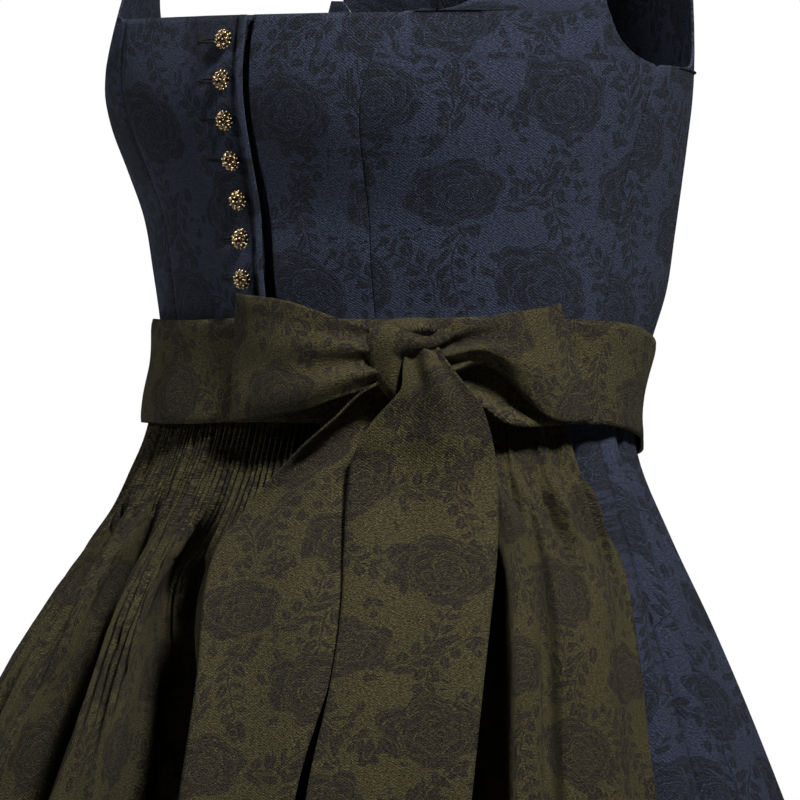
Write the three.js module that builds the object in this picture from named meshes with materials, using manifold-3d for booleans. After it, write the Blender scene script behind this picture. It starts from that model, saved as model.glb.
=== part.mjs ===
// A dirndl as it is worn: a fitted bodice of eight panels with wide shoulder straps and a row of ball buttons,
// a pleated skirt in three widths, and an apron gathered into a band whose ties wrap round the waist and end in
// a bow on the wearer's left front. Millimetres, +Z up. The wearer faces -Y and the wearer's left is +X. The
// origin is the middle of the waist seam.
//
// Every cloth piece is a thin closed wall. Its outer points are worked out from a figure: an outline that has a
// half width, a front depth and a back depth at each height. An angle of 0 is the centre front, and angles grow
// towards the wearer's left. A lift moves a point straight out from that outline.
import * as THREE from "three";
import Module from "manifold-3d";
import { mergeVertices } from "three/addons/utils/BufferGeometryUtils.js";

const wasm = await Module();
wasm.setup();

// ---- Driving dimensions ----
const CLOTH = 1.5; // one layer of jacquard with its backing
const BAND_CLOTH = 2.4; // the folded waistband and ties where they wrap the waist
const TIE_CLOTH = 1.6; // the ties where they hang free
const SEAM_GAP = 0.3; // between pieces that are sewn together
const WAIST_GAP = 0.5; // at the waist seam, which is not level
const NECKLINE = 171; // height of the straight front neckline
const SKIRT_LENGTH = 680;
const APRON_LENGTH = 640;
const BAND_TOP = 26;
const BAND_BOTTOM = -24;
const BAND_END_ANGLE = 140; // where the waistband ends and the wrapped ties go on
const PLACKET_EDGE = 10.5; // how far the right front laps past the centre front
const UNDERLAP = 8; // how far the left front runs on under it
const LAP_LIFT = 1.9; // how far the upper layer of the lap stands out
const BUTTON_HEIGHTS = { first: 45, step: 19, count: 7 };
const BUTTON_RADIUS = 5.2;
const BUTTON_CLEARANCE = 0.7; // under each button's shank
const SKIRT_PLEATS = 36;
const APRON_RIBS = 62; // cartridge pleats stitched under the band
const APRON_CLEARANCE = 1; // between the skirt's outermost pleats and the apron's back
const RIB_DEPTH = 3.2;
const BOW_TURN = 44.2; // the bow faces this many degrees round to the wearer's left
const WAIST_DROP = 20; // the waist sits this much lower at the centre back

const NAVY = new THREE.MeshStandardMaterial({ color: 0x1b2236, roughness: 0.85, metalness: 0 });
const OLIVE = new THREE.MeshStandardMaterial({ color: 0x2e2b1a, roughness: 0.85, metalness: 0 });
const BRASS = new THREE.MeshStandardMaterial({ color: 0xb08a55, roughness: 0.35, metalness: 1 });

// ---- Curves and the figure ----
const radians = THREE.MathUtils.degToRad;
const degrees = THREE.MathUtils.radToDeg;
const mix = THREE.MathUtils.lerp;
const smooth = THREE.MathUtils.smoothstep;

// A smooth curve through a table whose first column is the place along it. It returns the other columns.
function through(rows) {
  const columns = rows[0].length - 1;
  const places = rows.map((row) => row[0]);
  const values = rows.flatMap((row) => row.slice(1));
  const curve = new THREE.CubicInterpolant(places, values, columns, new Array(columns));
  return (place) => [...curve.evaluate(place)];
}

const figureAt = through([
  // height, half width, front depth, back depth, squareness of the back (1 is an ellipse)
  [-680, 335, 320, 322, 1.0],
  [-450, 282, 264, 264, 1.0],
  [-300, 236, 218, 215, 1.0],
  [-200, 200, 182, 174, 1.0],
  [-120, 168, 148, 138, 0.97],
  [-70, 146, 124, 112, 0.93],
  [-25, 128, 104, 93, 0.88],
  [0, 126.5, 100, 93, 0.86],
  [25, 128.5, 102, 103, 0.84],
  [50, 132, 105, 114, 0.8],
  [80, 137, 106.5, 118, 0.8],
  [110, 143, 113, 120, 0.8],
  [140, 149, 117, 120, 0.8],
  [171, 151, 114.5, 118, 0.8],
  [200, 149, 107, 117, 0.78],
  [240, 146, 98, 112, 0.76],
  [275, 143, 90, 104, 0.76],
]);

// The fullness that the princess seams give the front, by height and angle.
const BUST = { lift: 12, height: 130, tall: 44, angle: 36, wide: 26 };

function bustLift(angle, height) {
  const up = (height - BUST.height) / BUST.tall;
  const round = (Math.abs(angle) - BUST.angle) / BUST.wide;
  return BUST.lift * Math.exp(-up * up - round * round);
}

function planPoint(angle, height) {
  const [halfWidth, front, back, square] = figureAt(height);
  const sine = Math.sin(radians(angle));
  const cosine = Math.cos(radians(angle));
  const depth = cosine > 0 ? -front * cosine : back * Math.pow(-cosine, square);
  return new THREE.Vector2(halfWidth * sine, depth);
}

function planNormal(angle, height) {
  const ahead = planPoint(angle + 1, height);
  const along = ahead.sub(planPoint(angle - 1, height)).normalize();
  return new THREE.Vector3(along.y, -along.x, 0);
}

// How far the waist and what is near it sits lower towards the back.
function waistDrop(angle, height) {
  const round = Math.abs(angle > 180 ? angle - 360 : angle);
  return -WAIST_DROP * smooth(round, 80, 160) * Math.exp(-((height / 120) ** 2));
}

// A place on the figure: its point, and the direction straight out from it.
function onFigure(angle, height, lift = 0) {
  const plan = planPoint(angle, height);
  const out = planNormal(angle, height);
  const full = lift + (height > 0 ? bustLift(angle, height) : 0);
  const point = new THREE.Vector3(plan.x, plan.y, height + waistDrop(angle, height));
  return { point: point.addScaledVector(out, full), out };
}

// The angle that an arc length subtends on the figure at a height.
function arcAngle(length, angle, height) {
  return degrees(length / planPoint(angle, height).length());
}

// ---- Closed walls of cloth ----
// Joins two rows of vertex numbers with a strip of triangles. The rows may have different counts, and each one's
// shares say how far along it every vertex lies, from 0 to 1.
function strip(lower, upper, faces, flip, lowerShares, upperShares) {
  const shareIn = (shares, row, k) => (shares ? shares[k] : k / (row.length - 1));
  let i = 0;
  let j = 0;
  while (i < lower.length - 1 || j < upper.length - 1) {
    const nextLower = i < lower.length - 1 ? shareIn(lowerShares, lower, i + 1) : Infinity;
    const nextUpper = j < upper.length - 1 ? shareIn(upperShares, upper, j + 1) : Infinity;
    const face = nextLower <= nextUpper + 1e-9 ? [lower[i], lower[++i], upper[j]] : [lower[i], upper[j + 1], upper[j++]];
    faces.push(flip ? face.reverse() : face);
  }
}

// The geometry of a closed wall from rows of outer and inner points.
function wall(outer, inner, shares = []) {
  const points = [];
  const number = (rows) => rows.map((row) => row.map((point) => points.push(point) - 1));
  const out = number(outer);
  const back = number(inner);
  const faces = [];
  for (let k = 0; k + 1 < out.length; k++) {
    strip(out[k], out[k + 1], faces, false, shares[k], shares[k + 1]);
    strip(back[k], back[k + 1], faces, true, shares[k], shares[k + 1]);
  }
  const end = out.length - 1;
  strip(back[0], out[0], faces, false);
  strip(out[end], back[end], faces, false);
  const side = (rows, last) => rows.map((row) => row[last ? row.length - 1 : 0]);
  strip(side(out, false), side(back, false), faces, false);
  strip(side(back, true), side(out, true), faces, false);
  return meshOf(points, faces);
}

// An indexed geometry whose faces point out.
function meshOf(points, faces) {
  const corner = (face, k) => points[face[k]];
  const volume = faces.reduce((sum, face) => {
    const cross = new THREE.Vector3().crossVectors(corner(face, 1), corner(face, 2));
    return sum + corner(face, 0).dot(cross);
  }, 0);
  const turned = volume < 0 ? faces.map(([a, b, c]) => [a, c, b]) : faces;
  const geometry = new THREE.BufferGeometry().setFromPoints(points);
  geometry.setIndex(turned.flat());
  geometry.computeVertexNormals();
  return geometry;
}

// A wall whose rows hold places with a point and an outward direction.
function sewn(rows, thickness) {
  const outer = rows.map((row) => row.map((place) => place.point));
  const inward = (place) => place.point.clone().addScaledVector(place.out, -thickness);
  const shares = rows.map((row) => (row[0].share === undefined ? undefined : row.map((place) => place.share)));
  return wall(outer, rows.map((row) => row.map(inward)), shares);
}

const garment = new THREE.Group();

function add(name, geometry, material) {
  const mesh = new THREE.Mesh(geometry, material);
  mesh.name = name;
  garment.add(mesh);
  return mesh;
}

// The wearer's right side is the left side mirrored.
const mirrored = (place) => ({
  point: new THREE.Vector3(-place.point.x, place.point.y, place.point.z),
  out: new THREE.Vector3(-place.out.x, place.out.y, place.out.z),
});
const mirrorRows = (rows) => rows.map((row) => row.map(mirrored));

// ---- Bodice ----
// The angles of the seams by height.
const princessAt = through([[0, 31.5], [25, 31], [80, 29.6], [120, 29.8], [140, 30.8], [157, 33], [171, 36]]);
const sideSeamAt = through([[0, 91], [34, 92], [106, 93.3], [147, 97]]);
const backSeamAt = through([[0, 158], [40, 157], [80, 154], [120, 148], [147, 141.6], [165, 136.5], [186, 129.3]]);

const BODICE_HEIGHTS = [0, 25, 50, 75, 98, 118, 134, 147];
const FRONT_HEIGHTS = [...BODICE_HEIGHTS, 151, 159, NECKLINE];

// One row of a panel between two angles, drawn in by half a seam at each end that is sewn.
function row(height, from, to, columns, { fromSewn = true, toSewn = true, lift = () => 0 } = {}) {
  const half = SEAM_GAP / 2;
  const start = from + (fromSewn ? arcAngle(half, from, height) : 0);
  const stop = to - (toSewn ? arcAngle(half, to, height) : 0);
  const atSeam = height === 0 ? WAIST_GAP / 2 : height;
  return Array.from({ length: columns + 1 }, (_, j) => {
    const angle = mix(start, stop, j / columns);
    return onFigure(angle, atSeam, lift(angle));
  });
}

const angleOfX = (x, height) => degrees(Math.asin(x / figureAt(height)[0]));

function frontLeft() {
  return FRONT_HEIGHTS.map((height) =>
    row(height, angleOfX(-UNDERLAP, height), princessAt(height)[0], 6, { fromSewn: false }),
  );
}

// The right front laps over the left one, so it stands out by one layer from just before the centre front.
function frontRight() {
  const lap = { from: -11, full: -5.5 };
  const lift = (angle) => LAP_LIFT * smooth(angle, lap.from, lap.full);
  return FRONT_HEIGHTS.map((height) =>
    row(height, -princessAt(height)[0], angleOfX(PLACKET_EDGE, height), 8, { toSewn: false, lift }),
  );
}

// Above the armhole the side front turns the neckline's corner and becomes the strap.
const SIDE_FRONT_TOP = [
  // height, neck side angle, armhole side angle
  [151, 32, 91.5],
  [159, 33.4, 87],
  [NECKLINE, 36, 83.5],
  [NECKLINE + 0.6, 42, 83.3],
  [NECKLINE + 2.5, 47, 82.9],
  [NECKLINE + 9, 51.5, 82],
  [NECKLINE + 20, 54, 81],
  [NECKLINE + 32, 55, 80],
];

const SHOULDER = { inner: [104, 22, 340], outer: [137, 28, 328] };
const STRAP_FRONT = [
  // neck side x, y, z, then armhole side x, y, z
  [120, -58, 231, 144, -18, 230],
  [116, -44, 265, 142.5, -8, 264],
  [113, -24, 299, 140, 4, 294],
  [108, -4, 326, 138, 14, 316],
  [...SHOULDER.inner, ...SHOULDER.outer],
];
const STRAP_BACK = [
  [96, 74, 303, 124, 60, 299],
  [101, 56, 324, 131, 49, 316],
  [104, 38, 336, 135, 37, 325],
  [...SHOULDER.inner, ...SHOULDER.outer],
];
const STRAP_CROWN = 2.5; // how far the middle of a strap bows out

// Rows of a strap. The direction out is square to the row and to the way that the strap runs.
function strapRows(table, before, columns, beyond, flip) {
  const middle = (points) => new THREE.Vector3().addVectors(points[0], points[1]).multiplyScalar(0.5);
  const ends = table.map((r) => [new THREE.Vector3(...r.slice(0, 3)), new THREE.Vector3(...r.slice(3))]);
  const middles = [before, ...ends.map(middle), beyond];
  return ends.map(([neck, arm], k) => {
    const along = new THREE.Vector3().subVectors(middles[k + 2], middles[k]).normalize();
    const across = new THREE.Vector3().subVectors(arm, neck).normalize();
    const out = new THREE.Vector3().crossVectors(across, along).multiplyScalar(flip ? -1 : 1).normalize();
    const last = k === ends.length - 1;
    return Array.from({ length: columns + 1 }, (_, j) => {
      const share = j / columns;
      const point = new THREE.Vector3().lerpVectors(neck, arm, share);
      point.addScaledVector(out, STRAP_CROWN * Math.sin(Math.PI * share));
      if (last) point.addScaledVector(along, -SEAM_GAP / 2);
      return { point, out };
    });
  });
}

const rowMiddle = (places) => places[Math.floor(places.length / 2)].point;

function sideFrontLeft() {
  const columns = 6;
  const lower = BODICE_HEIGHTS.map((h) => row(h, princessAt(h)[0], sideSeamAt(h)[0], columns));
  const upper = SIDE_FRONT_TOP.map(([h, neck, arm]) =>
    row(h, neck, arm, columns, { fromSewn: h <= NECKLINE, toSewn: false }),
  );
  const top = rowMiddle(upper[upper.length - 1]);
  const beyond = new THREE.Vector3(...STRAP_BACK[2].slice(0, 3));
  return [...lower, ...upper, ...strapRows(STRAP_FRONT, top, columns, beyond, false)];
}

const SIDE_BACK_TOP = [
  // height, armhole side angle, back seam angle
  [147.6, 113, 141.4],
  [153, 119, 139.9],
  [165, 123.5, 136.5],
  [178, 125.6, 132],
  [186, 126.4, 129.3],
];

function sideBackLeft() {
  const columns = 7;
  const lower = BODICE_HEIGHTS.map((h) => row(h, sideSeamAt(h)[0], backSeamAt(h)[0], columns));
  const upper = SIDE_BACK_TOP.map(([h, arm, back]) => row(h, arm, back, columns, { fromSewn: false }));
  return [...lower, ...upper];
}

const BACK_TOP = [
  // height, armhole side angle, neck side angle
  [192, 127.4, 180],
  [215, 127.2, 180],
  [236, 126.9, 180],
  [248, 126.7, 180],
  [249, 126.6, 168],
  [254, 126.4, 156],
  [262, 125.8, 147],
  [275, 125, 141],
];

function backLeft() {
  const columns = 6;
  const sewnHeights = [...BODICE_HEIGHTS, 165, 178, 186];
  const lower = sewnHeights.map((h) => row(h, backSeamAt(h)[0], 180, columns));
  const upper = BACK_TOP.map(([h, arm, neck]) =>
    row(h, arm, neck, columns, { fromSewn: false, toSewn: neck === 180 }),
  );
  const top = rowMiddle(upper[upper.length - 1]);
  const beyond = new THREE.Vector3(...STRAP_FRONT[3].slice(0, 3));
  const strap = strapRows(STRAP_BACK, top, columns, beyond, true).map((places) => places.reverse());
  return [...lower, ...upper, ...strap];
}

const bodicePanels = {
  front_left: frontLeft(),
  front_right: frontRight(),
  side_front_left: sideFrontLeft(),
  side_front_right: mirrorRows(sideFrontLeft()),
  side_back_left: sideBackLeft(),
  side_back_right: mirrorRows(sideBackLeft()),
  back_left: backLeft(),
  back_right: mirrorRows(backLeft()),
};
for (const [name, rows] of Object.entries(bodicePanels)) add(name, sewn(rows, CLOTH), NAVY);

// ---- Buttons: domes on short shanks down the centre front ----
function buttonGeometry() {
  const r = BUTTON_RADIUS;
  const profile = [[0, 0], [0.4 * r, 0], [0.45 * r, 1.4], [r, 2.4], [0.86 * r, 4.7], [0.45 * r, 6], [0, 6.4]];
  return new THREE.LatheGeometry(profile.map(([x, y]) => new THREE.Vector2(x, y)), 10);
}

for (let k = 0; k < BUTTON_HEIGHTS.count; k++) {
  const height = BUTTON_HEIGHTS.first + k * BUTTON_HEIGHTS.step;
  const { point } = onFigure(0, height, LAP_LIFT);
  const rise = onFigure(0, height + 6, LAP_LIFT).point.sub(onFigure(0, height - 6, LAP_LIFT).point);
  const out = new THREE.Vector3(0, -rise.z, rise.y).normalize();
  const button = add(`button_${k + 1}`, buttonGeometry(), BRASS);
  button.position.copy(point).addScaledVector(out, BUTTON_CLEARANCE);
  button.quaternion.setFromUnitVectors(new THREE.Vector3(0, 1, 0), out);
}

// ---- Skirt: three widths, pleated into the waist seam ----
const SKIRT_HEIGHTS = [-WAIST_GAP / 2, -18, -45, -90, -170, -290, -470, -SKIRT_LENGTH];
const skirtDepthAt = through([[-SKIRT_LENGTH, 30], [-450, 26], [-200, 18], [-120, 13], [-70, 9], [-25, 5], [0, 3]]);
const PLEAT_STEPS = 3; // a valley, then the two edges of the pleat

// A round-cornered wave from 0 to 1 over each whole number.
const wave = (phase) => 0.5 + 0.5 * Math.cos(2 * Math.PI * phase);

// Pleats are a little uneven in width and depth, as cloth hangs.
function pleatPhase(angle) {
  const round = angle / 360;
  return SKIRT_PLEATS * round + 0.22 * Math.sin(2 * Math.PI * 3 * round) + 0.12 * Math.sin(2 * Math.PI * 7 * round);
}

function skirtRows(from, to) {
  const steps = Math.round(((to - from) / 360) * SKIRT_PLEATS * PLEAT_STEPS);
  return SKIRT_HEIGHTS.map((height) => {
    const half = arcAngle(SEAM_GAP / 2, from, height);
    const depth = skirtDepthAt(height)[0];
    return Array.from({ length: steps + 1 }, (_, j) => {
      const angle = mix(from + half, to - half, j / steps);
      return onFigure(angle, height, -depth * wave(pleatPhase(angle)));
    });
  });
}

const SKIRT_SEAMS = [-92.5, 92.5, 180];
add("skirt_front", sewn(skirtRows(SKIRT_SEAMS[0], SKIRT_SEAMS[1]), CLOTH), NAVY);
add("skirt_back_left", sewn(skirtRows(SKIRT_SEAMS[1], SKIRT_SEAMS[2]), CLOTH), NAVY);
add("skirt_back_right", sewn(skirtRows(SKIRT_SEAMS[2], SKIRT_SEAMS[0] + 360), CLOTH), NAVY);

// ---- Apron: one panel, ribbed by cartridge pleats under the band and falling in soft folds below ----
const apronEdgeAt = through([[-APRON_LENGTH, 74], [-200, 77.3], [-130, 80.3], [-90, 82], [-60, 81.6], [-27, 80.3], [-10, 79.8]]);
const foldDepthAt = through([[-APRON_LENGTH, 44], [-400, 38], [-200, 27], [-150, 21], [-110, 12], [-82, 5], [-60, 0], [-10, 0]]);
// The troughs between the apron's large folds: share of the way across, half width of the trough, depth.
const APRON_TROUGHS = [
  [0.075, 0.02, 0.8],
  [0.185, 0.026, 0.95],
  [0.3, 0.022, 0.85],
  [0.415, 0.028, 0.95],
  [0.533, 0.027, 0.97],
  [0.69, 0.024, 0.8],
  [0.862, 0.018, 0.95],
];
const FOLD_STEPS = 10; // from one trough to the next
const RIB_WALL = 2; // measured straight out, so that the ribs' steep sides are thick enough
const RIB_STEPS = 4;

// Round ribs with narrow valleys between them.
const ribbing = (phase) => Math.abs(Math.sin(Math.PI * phase));

// How far out a fold stands, from 0 in a trough to 1, with small waves on its face.
function folding(share) {
  const trough = APRON_TROUGHS.reduce((sum, [at, wide, deep]) => sum + deep * Math.exp(-(((share - at) / wide) ** 2)), 0);
  const edge = 0.55 * Math.exp(-((share / 0.02) ** 2)) + 0.7 * Math.exp(-(((1 - share) / 0.035) ** 2));
  const small = 0.05 * Math.cos(2 * Math.PI * (23 * share + 0.3 * Math.sin(9 * share)));
  return Math.max(0, 0.95 - trough - edge + small * (1 - Math.min(1, trough + edge)));
}

// Where the columns of the large folds lie: close together in the troughs.
const FOLD_COLUMNS = [0, ...APRON_TROUGHS.map(([at]) => at), 1].flatMap((at, k, all) => {
  if (k === all.length - 1) return [1];
  const span = all[k + 1] - at;
  return Array.from({ length: FOLD_STEPS }, (_, j) => {
    const even = j / FOLD_STEPS;
    return at + span * (even - 0.09 * Math.sin(2 * Math.PI * even));
  });
});

function apronPlace(share, height, ribs) {
  const edge = apronEdgeAt(height)[0];
  const ribbed = ribs * RIB_DEPTH * ribbing(APRON_RIBS * share);
  const folded = foldDepthAt(height)[0] * folding(share);
  return onFigure(mix(-edge, edge, share), height, APRON_CLEARANCE + RIB_WALL + ribbed + folded);
}

const APRON_ROWS = [
  // height, how full the ribs are, whether the row has every rib's points
  [-APRON_LENGTH, 0, false],
  [-480, 0, false],
  [-340, 0, false],
  [-230, 0, false],
  [-155, 0, false],
  [-110, 0, false],
  [-82, 0, false],
  [-60, 1, true],
  [-27, 1, true],
  [-11, 1, true],
];

const apronRows = APRON_ROWS.map(([height, ribs, fine]) => {
  const steps = APRON_RIBS * RIB_STEPS;
  const columns = fine ? Array.from({ length: steps + 1 }, (_, j) => j / steps) : FOLD_COLUMNS;
  return columns.map((share) => ({ ...apronPlace(share, height, ribs), share }));
});
add("apron_panel", sewn(apronRows, RIB_WALL), OLIVE);

// ---- Waistband, and the ties that go on from it round the back ----
const APRON_FRONT_LIFT = APRON_CLEARANCE + RIB_WALL + RIB_DEPTH;
const bandLiftAt = through([
  // height, lift of the band's back face where it covers the apron, and where it lies on the dress alone
  [BAND_BOTTOM, APRON_FRONT_LIFT + 0.5, 1.2],
  [-11, APRON_FRONT_LIFT + 0.5, 0.8],
  [7, 4.4, 0.8],
  [BAND_TOP, LAP_LIFT + 0.5, 0.8],
]);
const BAND_HEIGHTS = [BAND_BOTTOM, -11, 7, BAND_TOP];

function bandLift(angle, height) {
  const round = Math.abs(angle > 180 ? angle - 360 : angle);
  const [front, back] = bandLiftAt(THREE.MathUtils.clamp(height, BAND_BOTTOM, BAND_TOP));
  return mix(front, back, smooth(round, 84, 104)) + BAND_CLOTH;
}

function bandRows(from, to, columns) {
  return BAND_HEIGHTS.map((height) => {
    const half = arcAngle(SEAM_GAP / 2, from, height);
    return Array.from({ length: columns + 1 }, (_, j) => {
      const angle = mix(from + half, to - half, j / columns);
      return onFigure(angle, height, bandLift(angle, height));
    });
  });
}

add("waistband", sewn(bandRows(-BAND_END_ANGLE, BAND_END_ANGLE, 68), BAND_CLOTH), OLIVE);
add("tie_round_back", sewn(bandRows(BAND_END_ANGLE, 360 - BAND_END_ANGLE, 20), BAND_CLOTH), OLIVE);

// ---- Bow ----
// Its pieces are laid out as seen from straight in front of it: across to the right, height, and lift.
const ACROSS = new THREE.Vector3(Math.cos(radians(BOW_TURN)), Math.sin(radians(BOW_TURN)), 0);

function inFront(across, height, lift) {
  let low = BOW_TURN - 95;
  let high = BOW_TURN + 85;
  for (let k = 0; k < 40; k++) {
    const angle = (low + high) / 2;
    if (onFigure(angle, height, lift).point.dot(ACROSS) < across) low = angle;
    else high = angle;
  }
  return onFigure((low + high) / 2, height, lift);
}

const bandFace = (height) => bandLift(0, height);

const KNOT = { across: 7, height: 6, lift: 14.2, radii: [19, 18, 12.8] };

// A knot of folded cloth: a rounded lump with a few diagonal creases.
function knotGeometry(extra) {
  const { point, out } = inFront(KNOT.across, KNOT.height, bandFace(KNOT.height) + KNOT.lift);
  const geometry = new THREE.SphereGeometry(1, 20, 12);
  const position = geometry.getAttribute("position");
  const direction = new THREE.Vector3();
  for (let k = 0; k < position.count; k++) {
    direction.fromBufferAttribute(position, k);
    const crease = 1 - 0.05 * wave(1.6 * (direction.x + direction.y)) * (1 - direction.y ** 2);
    const [across, up, outward] = KNOT.radii.map((r) => r * crease + extra);
    position.setXYZ(k, direction.x * across, direction.y * up, direction.z * outward);
  }
  const turn = new THREE.Matrix4().makeBasis(ACROSS, new THREE.Vector3(0, 0, 1), out);
  return geometry.applyMatrix4(turn.setPosition(point));
}

function solidOf(geometry) {
  const bare = geometry.clone();
  bare.deleteAttribute("normal");
  bare.deleteAttribute("uv");
  const merged = mergeVertices(bare, 1e-3);
  const mesh = new wasm.Mesh({
    numProp: 3,
    vertProperties: merged.getAttribute("position").array,
    triVerts: new Uint32Array(merged.index.array),
  });
  return new wasm.Manifold(mesh);
}

// The geometry with another taken away from it.
function without(geometry, cutter) {
  const cut = solidOf(geometry).subtract(solidOf(cutter)).getMesh();
  const result = new THREE.BufferGeometry();
  result.setAttribute("position", new THREE.BufferAttribute(cut.vertProperties, 3));
  result.setIndex(new THREE.BufferAttribute(cut.triVerts, 1));
  result.computeVertexNormals();
  return result;
}

const knotRoom = knotGeometry(SEAM_GAP + 0.1);
add("bow_knot", knotGeometry(0), OLIVE);

// A loop runs out along the band, folds over, and comes back in front with a puffed belly.
// Its outline: share of the way out, lower and upper edge (across, height).
const leftLoopAt = through([
  [0, -2, -2, -2, 13],
  [0.25, -22, -9, -20, 22],
  [0.5, -43, -16.5, -40, 29],
  [0.75, -63, -20.5, -60, 34.5],
  [1, -82.6, -23, -79.4, 38.6],
]);
const rightLoopAt = through([
  [0, 14, -1, 14, 12],
  [0.25, 31, -11, 28, 20.5],
  [0.5, 50, -24, 44, 26.5],
  [0.75, 71, -25.5, 60, 30.5],
  [1, 91, -22.5, 75, 33],
]);
const LOOP_BELLY = 15;
const loopBack = (out) => 1 + TIE_CLOTH + 6 * (1 - out) ** 3;
const loopFront = (out) => 4.6 + TIE_CLOTH + 9 * (1 - out) ** 2 + LOOP_BELLY * Math.sin(Math.PI * out);
const LOOP_PATH = [
  // share of the way out, and 0 on the back layer, 1 on the front one
  [0, 0], [0.2, 0], [0.4, 0], [0.6, 0], [0.8, 0], [0.96, 0], [1, 0.5],
  [0.96, 1], [0.88, 1], [0.76, 1], [0.64, 1], [0.52, 1], [0.4, 1], [0.28, 1], [0.14, 1], [0, 1],
];
const LOOP_COLUMNS = 6;

function loopGeometry(outlineAt) {
  const layer = (thin) =>
    LOOP_PATH.map(([out, front]) => {
      const [lowAcross, low, highAcross, high] = outlineAt(out - (front === 0.5 ? thin / 80 : 0));
      const lift = mix(loopBack(out) - TIE_CLOTH + thin, loopFront(out) - thin, front);
      return Array.from({ length: LOOP_COLUMNS + 1 }, (_, j) => {
        const share = j / LOOP_COLUMNS;
        const height = mix(low, high, share);
        return inFront(mix(lowAcross, highAcross, share), height, bandFace(height) + lift).point;
      });
    });
  return wall(layer(0), layer(TIE_CLOTH));
}

add("bow_loop_left", without(loopGeometry(leftLoopAt), knotRoom), OLIVE);
add("bow_loop_right", without(loopGeometry(rightLoopAt), knotRoom), OLIVE);

// The hanging ends of the ties lie on the apron. Each row: height, left and right edge, lift above the apron.
const rightTailAt = through([
  [-420, -74, 0, 5], [-300, -62, 12, 5], [-191, -45.4, 26.3, 5], [-148, -35.6, 33, 5], [-112, -30, 38, 5],
  [-86, -28.6, 41.7, 5.6], [-58, -27, 43.5, 8], [-40, -25, 41, 12], [-24, -19, 32, 15], [-14, -10, 22, 17.5], [-4, 1, 15, 18],
]);
const leftTailAt = through([
  [-400, -128, -80, 1.6], [-300, -118, -68, 1.6], [-191, -105.6, -50, 1.6], [-139, -97, -33.5, 1.6], [-103, -94.5, -26, 1.6],
  [-81, -88, -20, 1.6], [-65, -75, -12, 2.2], [-45, -54, -10, 4.2], [-28, -38, -9, 7.5], [-18, -22, -4, 11], [-6, -8, 4, 13],
]);
const TAIL_COLUMNS = 6;
const RIGHT_TAIL_HEIGHTS = [-420, -340, -260, -191, -148, -112, -86, -70, -55, -40, -30, -22, -14, -6];
const LEFT_TAIL_HEIGHTS = [-400, -325, -255, -191, -139, -112, -92, -80, -70, -58, -44, -32, -24, -16, -8];

// What the tails lie on: the band near the waist, and the apron's outermost folds below it.
function tailGround(height) {
  const apron = APRON_FRONT_LIFT + foldDepthAt(Math.min(height, -10))[0];
  return Math.max(apron, mix(apron, bandFace(height), smooth(height, -44, BAND_BOTTOM - 4)));
}

function tailGeometry(tableAt, heights, hemSlant) {
  const rows = heights.map((height, k) => {
    const [left, right, lift] = tableAt(height);
    return Array.from({ length: TAIL_COLUMNS + 1 }, (_, j) => {
      const share = j / TAIL_COLUMNS;
      const slanted = height - (k === 0 ? hemSlant * share : 0);
      const curl = 1.2 * Math.sin(2 * Math.PI * share) * smooth(-height, 40, 120);
      return inFront(mix(left, right, share), slanted, tailGround(height) + lift + TIE_CLOTH + curl + 1.2);
    });
  });
  return sewn(rows, TIE_CLOTH);
}

add("bow_tail_right", without(tailGeometry(rightTailAt, RIGHT_TAIL_HEIGHTS, 25), knotRoom), OLIVE);
add("bow_tail_left", without(tailGeometry(leftTailAt, LEFT_TAIL_HEIGHTS, -20), knotRoom), OLIVE);

export default garment;
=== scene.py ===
"""A dirndl on its wearer: a jacquard bodice with dome buttons, a pleated skirt, and a gathered apron tied in a bow."""

import math

import bmesh
import bpy
import numpy as np
from bpy.props import FloatVectorProperty, PointerProperty
from mathutils import Matrix, Vector


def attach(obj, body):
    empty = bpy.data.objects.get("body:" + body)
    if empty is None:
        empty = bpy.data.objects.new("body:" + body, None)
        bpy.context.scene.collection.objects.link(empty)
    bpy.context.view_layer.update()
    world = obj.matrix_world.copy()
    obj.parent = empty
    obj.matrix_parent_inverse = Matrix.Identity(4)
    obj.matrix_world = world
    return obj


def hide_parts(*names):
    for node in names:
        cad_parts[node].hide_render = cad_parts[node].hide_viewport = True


bl_info = {
    "name": "Dirndl",
    "version": (1, 0, 0),
    "blender": (4, 5, 0),
    "location": "View3D > Sidebar > Dirndl",
    "description": "Makes a dirndl's bodice, skirt, apron, bow and buttons from their cuts",
    "category": "Object",
}

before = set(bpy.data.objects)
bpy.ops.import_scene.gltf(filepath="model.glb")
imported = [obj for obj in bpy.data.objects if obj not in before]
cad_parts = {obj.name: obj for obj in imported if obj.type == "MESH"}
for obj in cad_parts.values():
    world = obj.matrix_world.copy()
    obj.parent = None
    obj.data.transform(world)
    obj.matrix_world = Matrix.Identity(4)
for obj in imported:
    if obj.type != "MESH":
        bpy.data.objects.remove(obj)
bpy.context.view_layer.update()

MM = 0.001


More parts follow.
